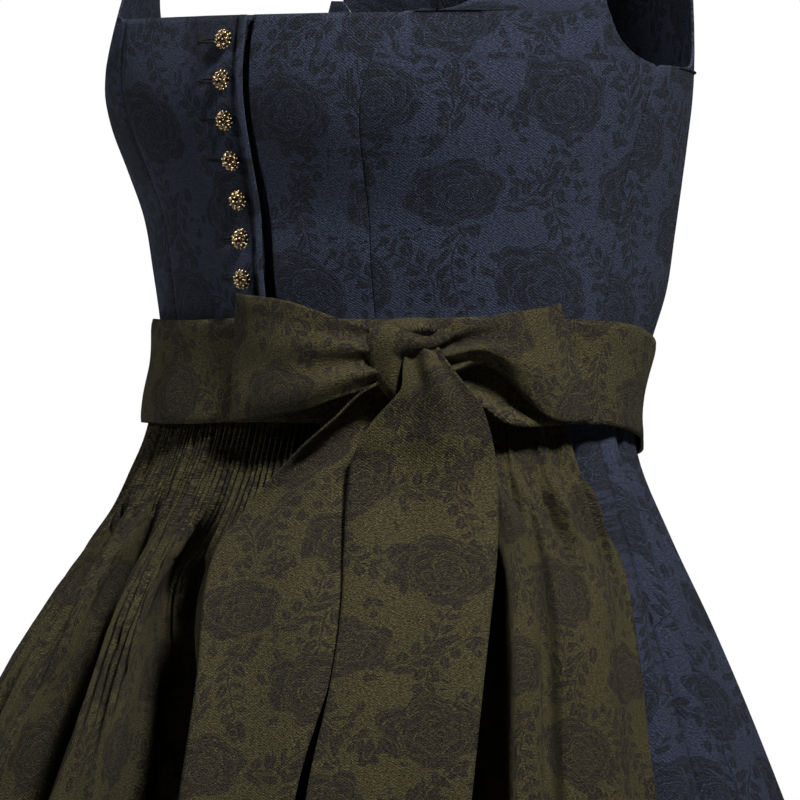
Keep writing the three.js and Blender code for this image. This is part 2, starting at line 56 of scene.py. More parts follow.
# ---- The cut: the same sizes and curves as the solids, in millimetres and degrees ----
def through(rows):
    """A smooth curve through a table whose first column is the place along it."""
    table = np.array(rows, float)
    places, values = table[:, 0], table[:, 1:]
    last = len(places) - 1

    def at(place):
        t = np.clip(np.asarray(place, float), places[0], places[-1])
        k = np.clip(np.searchsorted(places, t, side="right"), 1, last)
        t0, t1 = places[k - 1], places[k]
        before = np.where(k > 1, k - 2, k)
        after = np.where(k < last, k + 1, k - 1)
        half = (t1 - t0) / 2
        w0 = (half / (t0 - places[before]))[..., None]
        w1 = (half / (places[after] - t1))[..., None]
        p = ((t - t0) / (t1 - t0))[..., None]
        p2, p3 = p * p, p * p * p
        return (
            values[before] * (-w0 * p3 + 2 * w0 * p2 - w0 * p)
            + values[k - 1] * ((1 + w0) * p3 + (-1.5 - 2 * w0) * p2 + (-0.5 + w0) * p + 1)
            + values[k] * ((-1 - w1) * p3 + (1.5 + w1) * p2 + 0.5 * p)
            + values[after] * (w1 * p3 - w1 * p2)
        )

    return at


def smooth(x, low, high):
    """0 below low, 1 above high, and a soft step between them."""
    t = np.clip((np.asarray(x, float) - low) / (high - low), 0, 1)
    return t * t * (3 - 2 * t)


def mix(a, b, share):
    return a + (b - a) * share


def unit(vectors):
    return vectors / np.maximum(np.linalg.norm(vectors, axis=-1, keepdims=True), 1e-9)


WAIST_GAP = 0.5
NECKLINE = 171
SKIRT_LENGTH, APRON_LENGTH = 680, 640
BAND_TOP, BAND_BOTTOM = 26, -24
PLACKET_EDGE, UNDERLAP, LAP_LIFT = 10.5, 8, 1.9
WAIST_DROP = 20
# How far apart the bodice's rows lie, how far a sewn edge sinks, and how far a strap bows out.
ROW_STEP, SEAM_SINK, STRAP_BOW = 3.5, 0.75, 2.5

figure_at = through([
    # height, half width, front depth, back depth, squareness of the back
    [-680, 335, 320, 322, 1.0],
    [-450, 282, 264, 264, 1.0],
    [-300, 236, 218, 215, 1.0],
    [-200, 200, 182, 174, 1.0],
    [-120, 168, 148, 138, 0.97],
    [-70, 146, 124, 112, 0.93],
    [-25, 128, 104, 93, 0.88],
    [0, 126.5, 100, 93, 0.86],
    [25, 128.5, 102, 103, 0.84],
    [50, 132, 105, 114, 0.8],
    [80, 137, 106.5, 118, 0.8],
    [110, 143, 113, 120, 0.8],
    [140, 149, 117, 120, 0.8],
    [171, 151, 114.5, 118, 0.8],
    [200, 149, 107, 117, 0.78],
    [240, 146, 98, 112, 0.76],
    [275, 143, 90, 104, 0.76],
])


def plan_point(angle, height):
    figure = figure_at(height)
    sine, cosine = np.sin(np.radians(angle)), np.cos(np.radians(angle))
    depth = np.where(
        cosine > 0, -figure[..., 1] * cosine, figure[..., 2] * np.maximum(-cosine, 0) ** figure[..., 3]
    )
    return np.stack([figure[..., 0] * sine, depth], -1)


def on_figure(angle, height, lift=0.0):
    """Places on the figure, moved out by lift, and the directions straight out."""
    angle, height = np.broadcast_arrays(np.asarray(angle, float), np.asarray(height, float))
    along = unit(plan_point(angle + 1, height) - plan_point(angle - 1, height))
    out = np.stack([along[..., 1], -along[..., 0], np.zeros(angle.shape)], -1)
    bust = 12 * np.exp(-(((height - 130) / 44) ** 2) - ((np.abs(angle) - 36) / 26) ** 2)
    full = lift + np.where(height > 0, bust, 0)
    drop = -WAIST_DROP * smooth(from_front(angle), 80, 160) * bell(height, 0, 120)
    plan = plan_point(angle, height)
    point = np.concatenate([plan, (height + drop)[..., None]], -1)
    return point + out * np.asarray(full)[..., None], out


def from_front(angle):
    """How many degrees from the front an angle from -180 to 360 lies, to either side."""
    return np.abs(np.where(angle > 180, angle - 360, angle))


def wave(phase):
    return 0.5 + 0.5 * np.cos(2 * np.pi * phase)


def bell(x, middle, wide, power=2):
    """1 at the middle, sinking to 0 on both sides."""
    return np.exp(-(((x - middle) / wide) ** power))


def rims(share, wide):
    """1 at both ends of a share from 0 to 1, and 0 between them."""
    return bell(share, 0, wide) + bell(1 - share, 0, wide)


# ---- Cloth ----
def lay(name, part, points, cut, thickness, finish, flip=False):
    """A piece of cloth for a node of the frame: a grid moved to its places, with its flat cut as the UV map."""
    rows, columns = points.shape[0] - 1, points.shape[1] - 1
    bm = bmesh.new()
    bmesh.ops.create_grid(bm, x_segments=columns, y_segments=rows, size=0.5)
    flat = bm.loops.layers.uv.new("cut")
    places = {vert: (round((vert.co.y + 0.5) * rows), round((vert.co.x + 0.5) * columns)) for vert in bm.verts}
    for vert, (row, column) in places.items():
        vert.co = points[row, column] * MM
    for face in bm.faces:
        for corner in face.loops:
            corner[flat].uv = cut[places[corner.vert]] * MM
    if flip:
        bmesh.ops.reverse_faces(bm, faces=bm.faces)
    piece = finish_mesh(name, bm, finish)
    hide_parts(part)
    wall = piece.modifiers.new("Thickness", "SOLIDIFY")
    wall.thickness = thickness * MM
    wall.offset = -1
    return piece


def finish_mesh(name, bm, finish):
    """Makes the smooth object of a bmesh and gives it its material and its place in the frame."""
    for face in bm.faces:
        face.smooth = True
    mesh = bpy.data.meshes.new(name)
    bm.to_mesh(mesh)
    bm.free()
    piece = bpy.data.objects.new(name, mesh)
    bpy.context.scene.collection.objects.link(piece)
    material, slot = shaded(finish)
    mesh.materials.append(material)
    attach(piece, "root")
    return piece


def run_along(points):
    """How far along each line of points every point lies."""
    steps = np.linalg.norm(np.diff(points, axis=-2), axis=-1)
    return np.concatenate([np.zeros(steps.shape[:-1] + (1,)), np.cumsum(steps, -1)], -1)


def cut_of(points, place=(0, 0)):
    """The flat cut of a shaped grid: across from its middle line, and up along that line."""
    across, half = run_along(points), points.shape[1] // 2
    across = across - across[:, half, None] + place[0]
    up = run_along(points[:, half]) + place[1]
    return np.stack([across, np.broadcast_to(up[:, None], across.shape)], -1)


def resample(rows):
    """Evenly spaced rows on the smooth surface through a few given ones."""
    rows = np.stack(rows)
    run = run_along(rows[:, rows.shape[1] // 2])
    curve = through(np.column_stack([run, rows.reshape(len(rows), -1)]))
    count = max(2, round(run[-1] / ROW_STEP))
    return curve(np.linspace(0, run[-1], count + 1)).reshape(count + 1, -1, 3)


def mirrored(points):
    return points[:, ::-1] * np.array([-1, 1, 1])


# ---- Materials ----
class Value:
    """A socket of a shader tree. Arithmetic with it adds math nodes to the tree."""

    def __init__(self, tree, socket):
        self.tree, self.socket = tree, socket

    def sibling(self, key):
        """Another output of the same node."""
        return Value(self.tree, self.socket.node.outputs[key])

    def step(self, low, high):
        """0 where the value is below low, 1 above high."""
        ends = {"Value": self, "From Min": low, "From Max": high}
        return node(self.tree, "ShaderNodeMapRange", ends, interpolation_type="SMOOTHSTEP")


def node(tree, kind, inputs=(), output=0, **settings):
    """Adds a node and gives one of its outputs. Inputs are values, numbers or colours."""
    made = tree.nodes.new(kind)
    for key, value in settings.items():
        setattr(made, key, value)
    for key, value in dict(inputs).items():
        if isinstance(value, Value):
            tree.links.new(value.socket, made.inputs[key])
        else:
            made.inputs[key].default_value = value
    return Value(tree, made.outputs[output])


def arithmetic(operation, swapped=False):
    """A method that adds one math node."""

    def method(value, *others):
        terms = [value, *others][:: -1 if swapped else 1]
        return node(value.tree, "ShaderNodeMath", enumerate(terms), operation=operation)

    return method


OPERATIONS = {
    "__add__": "ADD", "__sub__": "SUBTRACT", "__mul__": "MULTIPLY", "__truediv__": "DIVIDE", "__pow__": "POWER",
    "__abs__": "ABSOLUTE", "max": "MAXIMUM", "over": "GREATER_THAN", "root": "SQRT", "floor": "FLOOR",
    "fract": "FRACT", "sine": "SINE", "cosine": "COSINE", "turn": "ARCTAN2",
}
for method, operation in OPERATIONS.items():
    setattr(Value, method, arithmetic(operation))
Value.__rsub__ = arithmetic("SUBTRACT", swapped=True)


def turned(x, y, angle):
    """x and y turned by an angle."""
    sine, cosine = angle.sine(), angle.cosine()
    return x * cosine - y * sine, x * sine + y * cosine


def noise(place, scale, detail=2.0, rough=0.5):
    settings = {"Vector": place, "Scale": scale, "Detail": detail, "Roughness": rough}
    return node(place.tree, "ShaderNodeTexNoise", settings)


def joined(x, y, z=0.0):
    return node(x.tree, "ShaderNodeCombineXYZ", {"X": x, "Y": y, "Z": z})


def split(value, kind="Color"):
    first = node(value.tree, f"ShaderNodeSeparate{kind}", {0: value})
    return [first.sibling(k) for k in range(3)]


def scaled(place, *scale):
    return node(place.tree, "ShaderNodeMapping", {"Vector": place, "Scale": scale})


def blend(share, low, high):
    return node(share.tree, "ShaderNodeMix", {0: share, 6: (*low, 1), 7: (*high, 1)}, 2, data_type="RGBA")


def group(name, inputs, outputs):
    """A new node group: its tree, the values given to it, and what to call with the values that it gives."""
    tree = bpy.data.node_groups.new(name, "ShaderNodeTree")
    for keys, way in ((inputs, "INPUT"), (outputs, "OUTPUT")):
        for key in keys:
            tree.interface.new_socket(key, in_out=way, socket_type="NodeSocketFloat")
    given, made = tree.nodes.new("NodeGroupInput"), tree.nodes.new("NodeGroupOutput")

    def give(*values):
        for key, value in zip(outputs, values):
            tree.links.new(value.socket, made.inputs[key])
        return tree

    return tree, [Value(tree, given.outputs[key]) for key in inputs], give


ROSE_LAYERS = [
    # reach, petals, turn of the first one, how far the petals bulge
    (0.14, 2, 0.4, 0.05),
    (0.27, 3, 1.9, 0.07),
    (0.4, 3, 0.2, 0.09),
    (0.54, 4, 2.6, 0.11),
    (0.7, 4, 0.9, 0.14),
    (0.85, 5, 1.4, 0.15),
    (1.0, 6, 0.5, 0.17),
]


def rose_group():
    """A full rose seen from the front: scalloped layers of petals round a heart a little off its middle."""
    _, (x, y, seed), give = group("Rose", ["X", "Y", "Seed"], ["Petal"])
    place = joined(x, y, seed)
    x = x + (noise(place, 1.9) - 0.5) * 0.26
    y = y + (noise(place, 2.2) - 0.47) * 0.26
    toward = (1.0 - (x * x + y * y).root()).max(0.0)
    x, y = x - toward * 0.2, y + toward * 0.12
    radius, turn = (x * x + y * y).root(), y.turn(x)
    lines = 0.0
    for reach, petals, first, bulge in ROSE_LAYERS:
        swing = turn * (petals / 2) + (seed + first)
        inside = abs(swing.cosine()) * bulge + (reach - bulge) - radius
        line = 1.0 - abs(inside).step(0.006, 0.022)
        second = 1.0 - abs(inside - 0.055).step(0.004, 0.018)
        lines = line.max(second * 0.7).max(lines)
    broken = noise(place, 9.0, 1.0).step(0.36, 0.5)
    return give(inside.step(0.0, 0.03) * (1.0 - lines * (broken * 0.5 + 0.5)))


LEAF_PITCH = 5.6


def spray_group():
    """A curved stem with leaves on both sides and a small open flower at its end. X and Y are in millimetres."""
    _, (x, y), give = group("Leaf spray", ["X", "Y"], ["Leaf"])
    bent = y - (x * x * 0.012 + (x * 0.21).sine() * 1.6)
    side = bent.step(-0.01, 0.01)
    along, across = (x + 20.0) / LEAF_PITCH + side * 0.38, abs(bent)
    luck = (((along.floor() * 2.0 + side + 1.0) * 12.9898).sine() * 43.758).fract()
    size = 1.0 - along * 0.05 + luck * 0.45
    near = (along.fract() - 0.5) * LEAF_PITCH
    p, q = turned((near - 0.6) / size, across / size - 3.0, luck * 0.75 - 1.25)
    leaf = (1.0 - ((abs(p) / 3.4) ** 1.7 + (abs(q) / 1.5) ** 1.5)).step(0.0, 0.2)
    vein = abs(q).step(0.1, 0.35) * 0.6 + 0.4
    on_stem = along.step(0.0, 0.1) * (6.2 - along).step(0.0, 0.1)
    leaves = (leaf * vein).max((0.5 - across).step(0.0, 0.3)) * on_stem
    x, y = x - 18.0, y - 4.0
    far = (x * x + y * y).root()
    rim = abs((y.turn(x) * 2.5).cosine()) * 2.6 + 2.9
    return give(leaves.max((rim - far).step(0.0, 0.5) * abs(far - 1.7).step(0.1, 0.5)))


# The jacquard's repeat and its roses' half sizes, in millimetres.
REPEAT_WIDE, REPEAT_TALL = 98.0, 88.0
ROSE_WIDE, ROSE_TALL = 28.0, 19.5
TWILL_PITCH = 1.15


def jacquard_group():
    """Roses and leaf sprays on a half-drop repeat, woven tone on tone. X and Y are in millimetres."""
    tree, (cloth_x, cloth_y), give = group("Jacquard", ["X", "Y"], ["Motif", "Twill"])
    rose, spray = rose_group(), spray_group()
    place = joined(cloth_x, cloth_y)
    x = cloth_x + (noise(place, 0.09) - 0.5) * 5.0
    y = cloth_y + (noise(place, 0.11) - 0.5) * 5.0

    def repeat(shift_x, shift_y, swing, lean):
        """Places within one repeat: from its middle, jogged and turned a little for each one."""
        across, up = (x + shift_x) / REPEAT_WIDE, (y + shift_y) / REPEAT_TALL
        cell = joined(across.floor(), up.floor(), shift_x + 2 * shift_y)
        luck = node(tree, "ShaderNodeTexWhiteNoise", {"Vector": cell}, "Color", noise_dimensions="3D")
        jog_x, jog_y, jog_turn = [part - 0.5 for part in split(luck)]
        here_x = (across.fract() - 0.5) * REPEAT_WIDE + jog_x * 6.0
        here_y = (up.fract() - 0.5) * REPEAT_TALL + jog_y * 6.0
        return turned(here_x, here_y, jog_turn * swing + lean)

    def far(x, y):
        return x * x + y * y * 2.0

    def nearer(a, b):
        """Whichever of two places is nearer its own middle, and 1 where that is the second."""
        second = far(*a).over(far(*b))
        return *[p * (1.0 - second) + q * second for p, q in zip(a, b)], second

    half_x, half_y = REPEAT_WIDE / 2, REPEAT_TALL / 2
    rose_x, rose_y, other = nearer(repeat(0, 0, 0.8, 0.2), repeat(half_x, half_y, 0.8, -0.3))
    rose_x, rose_y, grow = rose_x / ROSE_WIDE, rose_y / ROSE_TALL, 1.0 - other * 0.1
    bloom = {"X": rose_x / grow, "Y": rose_y / grow, "Seed": other * 1.7 + 3.2}
    petal = node(tree, "ShaderNodeGroup", bloom, node_tree=rose)
    reach = (rose_x**2.0 + rose_y**2.0).root()
    foliage = 0.0
    for lean, off in ((0.0, 5.0), (2.7, 14.0)):
        twig_x, twig_y, _ = nearer(repeat(half_x + lean, 0, 0.9, 1.1 + lean), repeat(lean, half_y, 0.9, lean - 0.9))
        twig = {"X": (twig_x - off) * 0.78, "Y": (twig_y - 6.0) * 0.78}
        foliage = node(tree, "ShaderNodeGroup", twig, node_tree=spray).max(foliage)
    # Loose leaves lie round the roses, each turned its own way, in cells whose middles are in the cloth's millimetres.
    cells = {"Vector": place, "Scale": 0.14, "Randomness": 0.9}
    middle = node(tree, "ShaderNodeTexVoronoi", cells, "Position", feature="F1")
    dice, (middle_x, middle_y, _) = split(middle.sibling("Color")), split(middle, "XYZ")
    p, q = turned(cloth_x - middle_x, cloth_y - middle_y, dice[0] * (2 * math.pi))
    q = q + p * p * 0.05
    blade = 1.0 - ((abs(p) / 4.2) ** 1.8 + (abs(q) / 2.1) ** 1.5)
    loose = blade.step(0.0, 0.2) * (abs(q).step(0.1, 0.4) * 0.7 + 0.3)
    close = reach.step(0.92, 0.96) * (1.45 - reach).step(0.0, 0.02)
    chosen = dice[1].over(0.58) * noise(place, 0.045, 1.0).step(0.44, 0.5)
    foliage = foliage.max(loose * close * chosen)
    slant = cloth_x * 0.52 + cloth_y * 0.86
    twill = (slant * (2 * math.pi / TWILL_PITCH) + noise(place, 0.9, 2.0, 0.6) * 5.5).sine()
    return give(petal.max(foliage * reach.step(0.86, 0.98)), twill * 0.5 + 0.5)


def surface(tree, looks, height, strength, distance):
    """Ends a shader tree in a surface with a bump."""
    bump = node(tree, "ShaderNodeBump", {"Strength": strength, "Distance": distance, "Height": height})
    shader = node(tree, "ShaderNodeBsdfPrincipled", {**looks, "Normal": bump})
    tree.links.new(shader.socket, tree.nodes.new("ShaderNodeOutputMaterial").inputs[0])


def jacquard(tree, ground, motif, speck):
    """A matt tone-on-tone jacquard: a darker figure on a twill of uneven yarns, with painted highlights as glints on
    single threads.
    """
    cut = node(tree, "ShaderNodeUVMap", uv_map="cut")
    cloth, yarn = scaled(cut, 1000, 1000, 1000), scaled(cut, 560, 1150, 1000)
    across, up, _ = split(cloth, "XYZ")
    woven = bpy.data.node_groups.get("Jacquard") or jacquard_group()
    figure = node(tree, "ShaderNodeGroup", {"X": across, "Y": up}, "Motif", node_tree=woven)
    twill = figure.sibling("Twill")
    fibre = noise(yarn, 1.05, 3.0, 0.9).step(0.34, 0.66)
    # Glints: painted highlights, small bright spots on single threads.
    glint = noise(cloth, 1.6, 1.0).step(0.6, 0.7)
    colour = blend(figure * (twill * 0.28 + 0.76), ground, motif)
    yarn_and_glints = fibre * speck + (1.0 - speck / 2) + glint * (0.8 * speck)
    shade = yarn_and_glints * (twill * 0.34 + 0.83) * (noise(cloth, 0.035, 3.0, 0.6) * 0.3 + 0.85)
    hue = noise(yarn, 0.3, 1.0) * 0.06 + 0.47
    tinted = node(tree, "ShaderNodeHueSaturation", {"Hue": hue, "Value": shade, "Color": colour})
    looks = {
        "Base Color": tinted, "Roughness": 0.75, "Specular IOR Level": 0.05, "Sheen Weight": 0.02,
        "Sheen Roughness": 0.4,
    }
    surface(tree, looks, twill * 0.5 + fibre * 0.7, 0.8, 0.0005)


def thread(tree, colour):
    """Twisted sewing thread."""
    fibre = noise(node(tree, "ShaderNodeTexCoord", output="Object"), 4000.0)
    tones = blend(fibre, [k * 0.6 for k in colour], [k * 1.5 for k in colour])
    surface(tree, {"Base Color": tones, "Roughness": 0.6, "Specular IOR Level": 0.25}, fibre, 0.4, 0.0001)


def antique_gold(tree, colour):
    """Gilt metal with tarnish, bright on what stands out and painted dark in the pits as shade."""
    tarnish = noise(node(tree, "ShaderNodeTexCoord", output="Object"), 900.0, 3.0, 0.6)
    painted_lightness = node(tree, "ShaderNodeAttribute", output="Fac", attribute_name="painted_lightness")
    # Painted shade: each part's painted lightness darkens the cup and the lower parts towards near black.
    tones = blend(painted_lightness * (tarnish * 0.5 + 0.75), (0.012, 0.007, 0.004), colour)
    looks = {"Base Color": tones, "Metallic": 1.0, "Roughness": tarnish * 0.16 + 0.18}
    surface(tree, looks, tarnish, 0.3, 0.0001)


MATERIALS = {}


def shaded(key):
    """One of the garment's finishes, with its slot. Each is made once, from the colours in the panel."""
    if key not in MATERIALS:
        tones = bpy.context.scene.dirndl_colours
        name, slot, make, looks = {
            "navy": ("Navy jacquard", "navy_jacquard", jacquard, (tones.navy_ground, tones.navy_motif, 1.1)),
            "olive": ("Olive jacquard", "olive_jacquard", jacquard, (tones.olive_ground, tones.olive_motif, 1.5)),
            "dark_thread": ("Dark thread", "navy_jacquard", thread, ([0.5 * k for k in tones.navy_motif],)),
            "olive_thread": ("Olive thread", "olive_jacquard", thread, ([0.4 * k for k in tones.olive_motif],)),
            "gold": ("Antique gold", "antique_gold", antique_gold, (tones.gold,)),
        }[key]
        material = bpy.data.materials.new(name)
        material.use_nodes = True
        material.node_tree.nodes.clear()
        make(material.node_tree, *looks)
        MATERIALS[key] = material, slot
    return MATERIALS[key]


# ---- Bodice ----
def angle_through(rows):
    """A seam's angle at a height."""
    curve = through(rows)
    return lambda height: float(curve(height)[0])


princess_at = angle_through([[0, 31.5], [25, 31], [80, 29.6], [120, 29.8], [140, 30.8], [157, 33], [171, 36]])
side_seam_at = angle_through([[0, 91], [34, 92], [106, 93.3], [147, 97]])
back_seam_at = angle_through([[0, 158], [40, 157], [80, 154], [120, 148], [147, 141.6], [165, 136.5], [186, 129.3]])
# About how far the bodice's front is from the figure's axis, and the line of stitches from the lap's edge.
FRONT_RADIUS, STITCH_LINE = 104, 4.2
BODICE_CLOTH, SKIRT_CLOTH, APRON_CLOTH = 1.4, 1.3, 1.1
BUTTONHOLE_STITCHES = 27
BODICE_HEIGHTS = [0, 25, 50, 75, 98, 118, 134, 147]
FRONT_HEIGHTS = [*BODICE_HEIGHTS, 151, 159, NECKLINE]


def panel_row(height, start, stop, shares, start_sewn=True, stop_sewn=True, lift=None):
    """One row of a panel between two angles. Sewn edges sink a little into the seam."""
    at = WAIST_GAP / 2 if height == 0 else height
    angle = mix(start, stop, shares)
    width = np.radians(abs(stop - start)) * np.linalg.norm(plan_point((start + stop) / 2, height))
    sink = start_sewn * bell(shares * width, 0, 1.7) + stop_sewn * bell((1 - shares) * width, 0, 1.7)
    raised = lift(angle, at) if lift else 0
    return on_figure(angle, at, raised - SEAM_SINK * sink)[0]


def edge_dense(count, power=1.4):
    """Shares from 0 to 1 that lie closer together towards both ends."""
    t = np.linspace(-1, 1, count + 1)
    return 0.5 + 0.5 * np.sign(t) * (1 - (1 - np.abs(t)) ** power)


def angle_of_x(x, height):
    return math.degrees(math.asin(x / float(figure_at(height)[0])))


def groove(angle, height):
    """The shaded hollow beside the lap's edge, where the cloth below is drawn in."""
    beyond = (angle - angle_of_x(PLACKET_EDGE, height)) * np.pi / 180 * FRONT_RADIUS
    wide = 0.3 + 2.2 * (1 - smooth(height, 40, 125))
    return -3.6 * smooth(beyond, -7, -1) * (1 - smooth(beyond, wide, wide + 1.8))


def front_left_points():
    shares = np.concatenate([np.linspace(0, 0.3, 36)[:-1], 0.3 + 0.7 * edge_dense(30)])
    rows = [
        panel_row(h, angle_of_x(-UNDERLAP, h), princess_at(h), shares, start_sewn=False, lift=groove)
        for h in FRONT_HEIGHTS
    ]
    return resample(rows)


def lap(angle, height):
    """How far the upper layer of the front's lap stands out, with the groove of the line of stitches along it."""
    from_edge = (angle_of_x(PLACKET_EDGE, height) - angle) * np.pi / 180 * FRONT_RADIUS
    bead = 1.1 * bell(from_edge, 1.9, 1.5)
    return LAP_LIFT * smooth(angle, -11, -5.5) + bead - bell(from_edge, STITCH_LINE, 0.6)


def front_right_points():
    shares = 1 - (1 - np.linspace(0, 1, 65)) ** 1.25
    rows = [
        panel_row(h, -princess_at(h), angle_of_x(PLACKET_EDGE, h), shares, stop_sewn=False, lift=lap)
        for h in FRONT_HEIGHTS
    ]
    return resample(rows)


SIDE_FRONT_TOP = [
    # height, neck side angle, armhole side angle
    (151, 32, 91.5),
    (159, 33.4, 87),
    (NECKLINE, 36, 83.5),
    (NECKLINE + 0.6, 42, 83.3),
    (NECKLINE + 2.5, 47, 82.9),
    (NECKLINE + 9, 51.5, 82),
    (NECKLINE + 20, 54, 81),
    (NECKLINE + 32, 55, 80),
]
SHOULDER = ((104, 22, 340), (137, 28, 328))
STRAP_FRONT = [
    ((120, -58, 231), (144, -18, 230)),
    ((116, -44, 265), (142.5, -8, 264)),
    ((113, -24, 299), (140, 4, 294)),
    ((108, -4, 326), (138, 14, 316)),
    SHOULDER,
]
STRAP_BACK = [
    ((96, 74, 303), (124, 60, 299)),
    ((101, 56, 324), (131, 49, 316)),
    ((104, 38, 336), (135, 37, 325)),
    SHOULDER,
]


def strap_rows(table, before, shares, beyond, flip):
    """Rows of a strap, bowed out a little in the middle."""
    ends = [(np.array(neck, float), np.array(arm, float)) for neck, arm in table]
    middles = [before, *[(neck + arm) / 2 for neck, arm in ends], np.array(beyond, float)]
    rows = []
    for k, (neck, arm) in enumerate(ends):
        along = unit(middles[k + 2] - middles[k])
        out = unit(np.cross(unit(arm - neck), along)) * (-1 if flip else 1)
        rows.append(neck + (arm - neck) * shares[:, None] + out * (STRAP_BOW * np.sin(np.pi * shares))[:, None])
    return rows


def side_front_points():
    shares = edge_dense(46)
    rows = [panel_row(h, princess_at(h), side_seam_at(h), shares) for h in BODICE_HEIGHTS]
    rows += [
        panel_row(h, neck, arm, shares, start_sewn=h <= NECKLINE, stop_sewn=False) for h, neck, arm in SIDE_FRONT_TOP
    ]
    rows += strap_rows(STRAP_FRONT, rows[-1][len(shares) // 2], shares, STRAP_BACK[2][0], False)
    return resample(rows)


SIDE_BACK_TOP = [(147.6, 113, 141.4), (153, 119, 139.9), (165, 123.5, 136.5), (178, 125.6, 132), (186, 126.4, 129.3)]


def side_back_points():
    shares = edge_dense(40)
    rows = [panel_row(h, side_seam_at(h), back_seam_at(h), shares) for h in BODICE_HEIGHTS]
    rows += [panel_row(h, arm, back, shares, start_sewn=False) for h, arm, back in SIDE_BACK_TOP]
    return resample(rows)


BACK_TOP = [
    # height, armhole side angle, neck side angle
    (192, 127.4, 180),
    (215, 127.2, 180),
    (236, 126.9, 180),
    (248, 126.7, 180),
    (249, 126.6, 168),
    (254, 126.4, 156),
    (262, 125.8, 147),
    (275, 125, 141),
]


def back_points():
    shares = edge_dense(46)
    rows = [panel_row(h, back_seam_at(h), 180, shares) for h in [*BODICE_HEIGHTS, 165, 178, 186]]
    rows += [panel_row(h, arm, neck, shares, start_sewn=False, stop_sewn=neck == 180) for h, arm, neck in BACK_TOP]
    strap = strap_rows(STRAP_BACK, rows[-1][len(shares) // 2], shares, STRAP_FRONT[3][0], True)
    rows += [row[::-1] for row in strap]
    return resample(rows)


# Where each panel's cut lies on the cloth, so that the roses fall as they should: its middle line's place across,
# and its waist's place up.
BODICE_CUTS = {
    "front_left": (30, 6),
    "front_right": (-18, 10),
    "side_front_left": (126, 0),
    "side_front_right": (-110, 20),
    "side_back_left": (210, 8),
    "side_back_right": (-210, 30),
    "back_left": (300, 14),
    "back_right": (-300, 14),
}


class DIRNDL_OT_bodice(bpy.types.Operator):
    """Cut and shape the bodice's panels on the figure, with the straps"""

    bl_idname = "dirndl.bodice"
    bl_label = "Bodice"

    def execute(self, context):
        side_front, side_back, back = side_front_points(), side_back_points(), back_points()
        shapes = {
            "front_left": front_left_points(),
            "front_right": front_right_points(),
            "side_front_left": side_front,
            "side_front_right": mirrored(side_front),
            "side_back_left": side_back,
            "side_back_right": mirrored(side_back),
            "back_left": back,
            "back_right": mirrored(back),
        }
        for part, points in shapes.items():
            cut = cut_of(points, BODICE_CUTS[part])
            piece = lay(f"{part}_cloth", part, points, cut, BODICE_CLOTH, "navy")
        return {"FINISHED"}


def stitch(bm, middle, along, out, *half_sizes):
    """One rounded thread: half its length along, half its width across, half its height out."""
    axes = along, unit(np.cross(out, along)), out
    columns = [axis * half for axis, half in zip(axes, half_sizes)]
    basis = Matrix([*(np.column_stack([*columns, middle]) * MM).tolist(), [0, 0, 0, 1]])
    bmesh.ops.create_icosphere(bm, subdivisions=1, radius=1.0, matrix=basis)


def finish_stitches(name, bm, finish):
    bmesh.ops.recalc_face_normals(bm, faces=bm.faces)
    return finish_mesh(name, bm, finish)


def stitches(name, points, outs, pitch, radius, finish):
    """A line of stitches: short rounded threads laid end to end along points."""
    run = run_along(points)
    bm = bmesh.new()

    def between(values, at):
        return np.array([np.interp(at, run, values[:, i]) for i in range(3)])

    for k in range(int(run[-1] / pitch)):
        at = (k + 0.5) * pitch
        middle = between(points, at)
        along = unit(between(points, at + 0.3) - middle)
        stitch(bm, middle, along, unit(between(outs, at)), pitch * 0.36, radius, radius)
    return finish_stitches(name, bm, finish)


class DIRNDL_OT_placket(bpy.types.Operator):
    """Sew the line of stitches and the buttonholes on the front's lap"""

    bl_idname = "dirndl.placket"
    bl_label = "Placket stitching"

    def execute(self, context):
        heights = np.linspace(2, NECKLINE - 2, 90)
        edge = np.array([angle_of_x(PLACKET_EDGE, h) for h in heights]) - np.degrees(STITCH_LINE / FRONT_RADIUS)
        lift = np.array([float(lap(a, h)) for a, h in zip(edge, heights)])
        points, outs = on_figure(edge, heights, lift + 0.02)
        stitches("placket_stitches", points, outs, 2.6, 0.24, "dark_thread")
        bm = bmesh.new()
        for height in button_heights():
            angles = np.linspace(-7.2, 1.5, BUTTONHOLE_STITCHES + 1)
            swell = np.sin(np.linspace(0.15, np.pi - 0.15, BUTTONHOLE_STITCHES + 1))
            for rim in (-0.9, 0.9):
                line, out = on_figure(angles, height + rim * swell, LAP_LIFT + 0.1)
                for k in range(BUTTONHOLE_STITCHES):
                    stitch(bm, line[k], unit(line[k + 1] - line[k]), out[k], 0.22, 0.62, 0.3)
        finish_stitches("buttonholes", bm, "dark_thread")
        return {"FINISHED"}


# ---- Buttons ----
BUTTONS, LOWEST_BUTTON, BUTTON_PITCH = 7, 45, 19


def button_heights():
    return [LOWEST_BUTTON + BUTTON_PITCH * k for k in range(BUTTONS)]


def button_place(height):
    """The middle of a button's seat and the direction that it faces."""
    point = on_figure(0.0, float(height), LAP_LIFT)[0]
    rise = on_figure(0.0, height + 6.0, LAP_LIFT)[0] - on_figure(0.0, height - 6.0, LAP_LIFT)[0]
    out = unit(np.array([0, -rise[2], rise[1]]))
    return point + out * 0.7, out


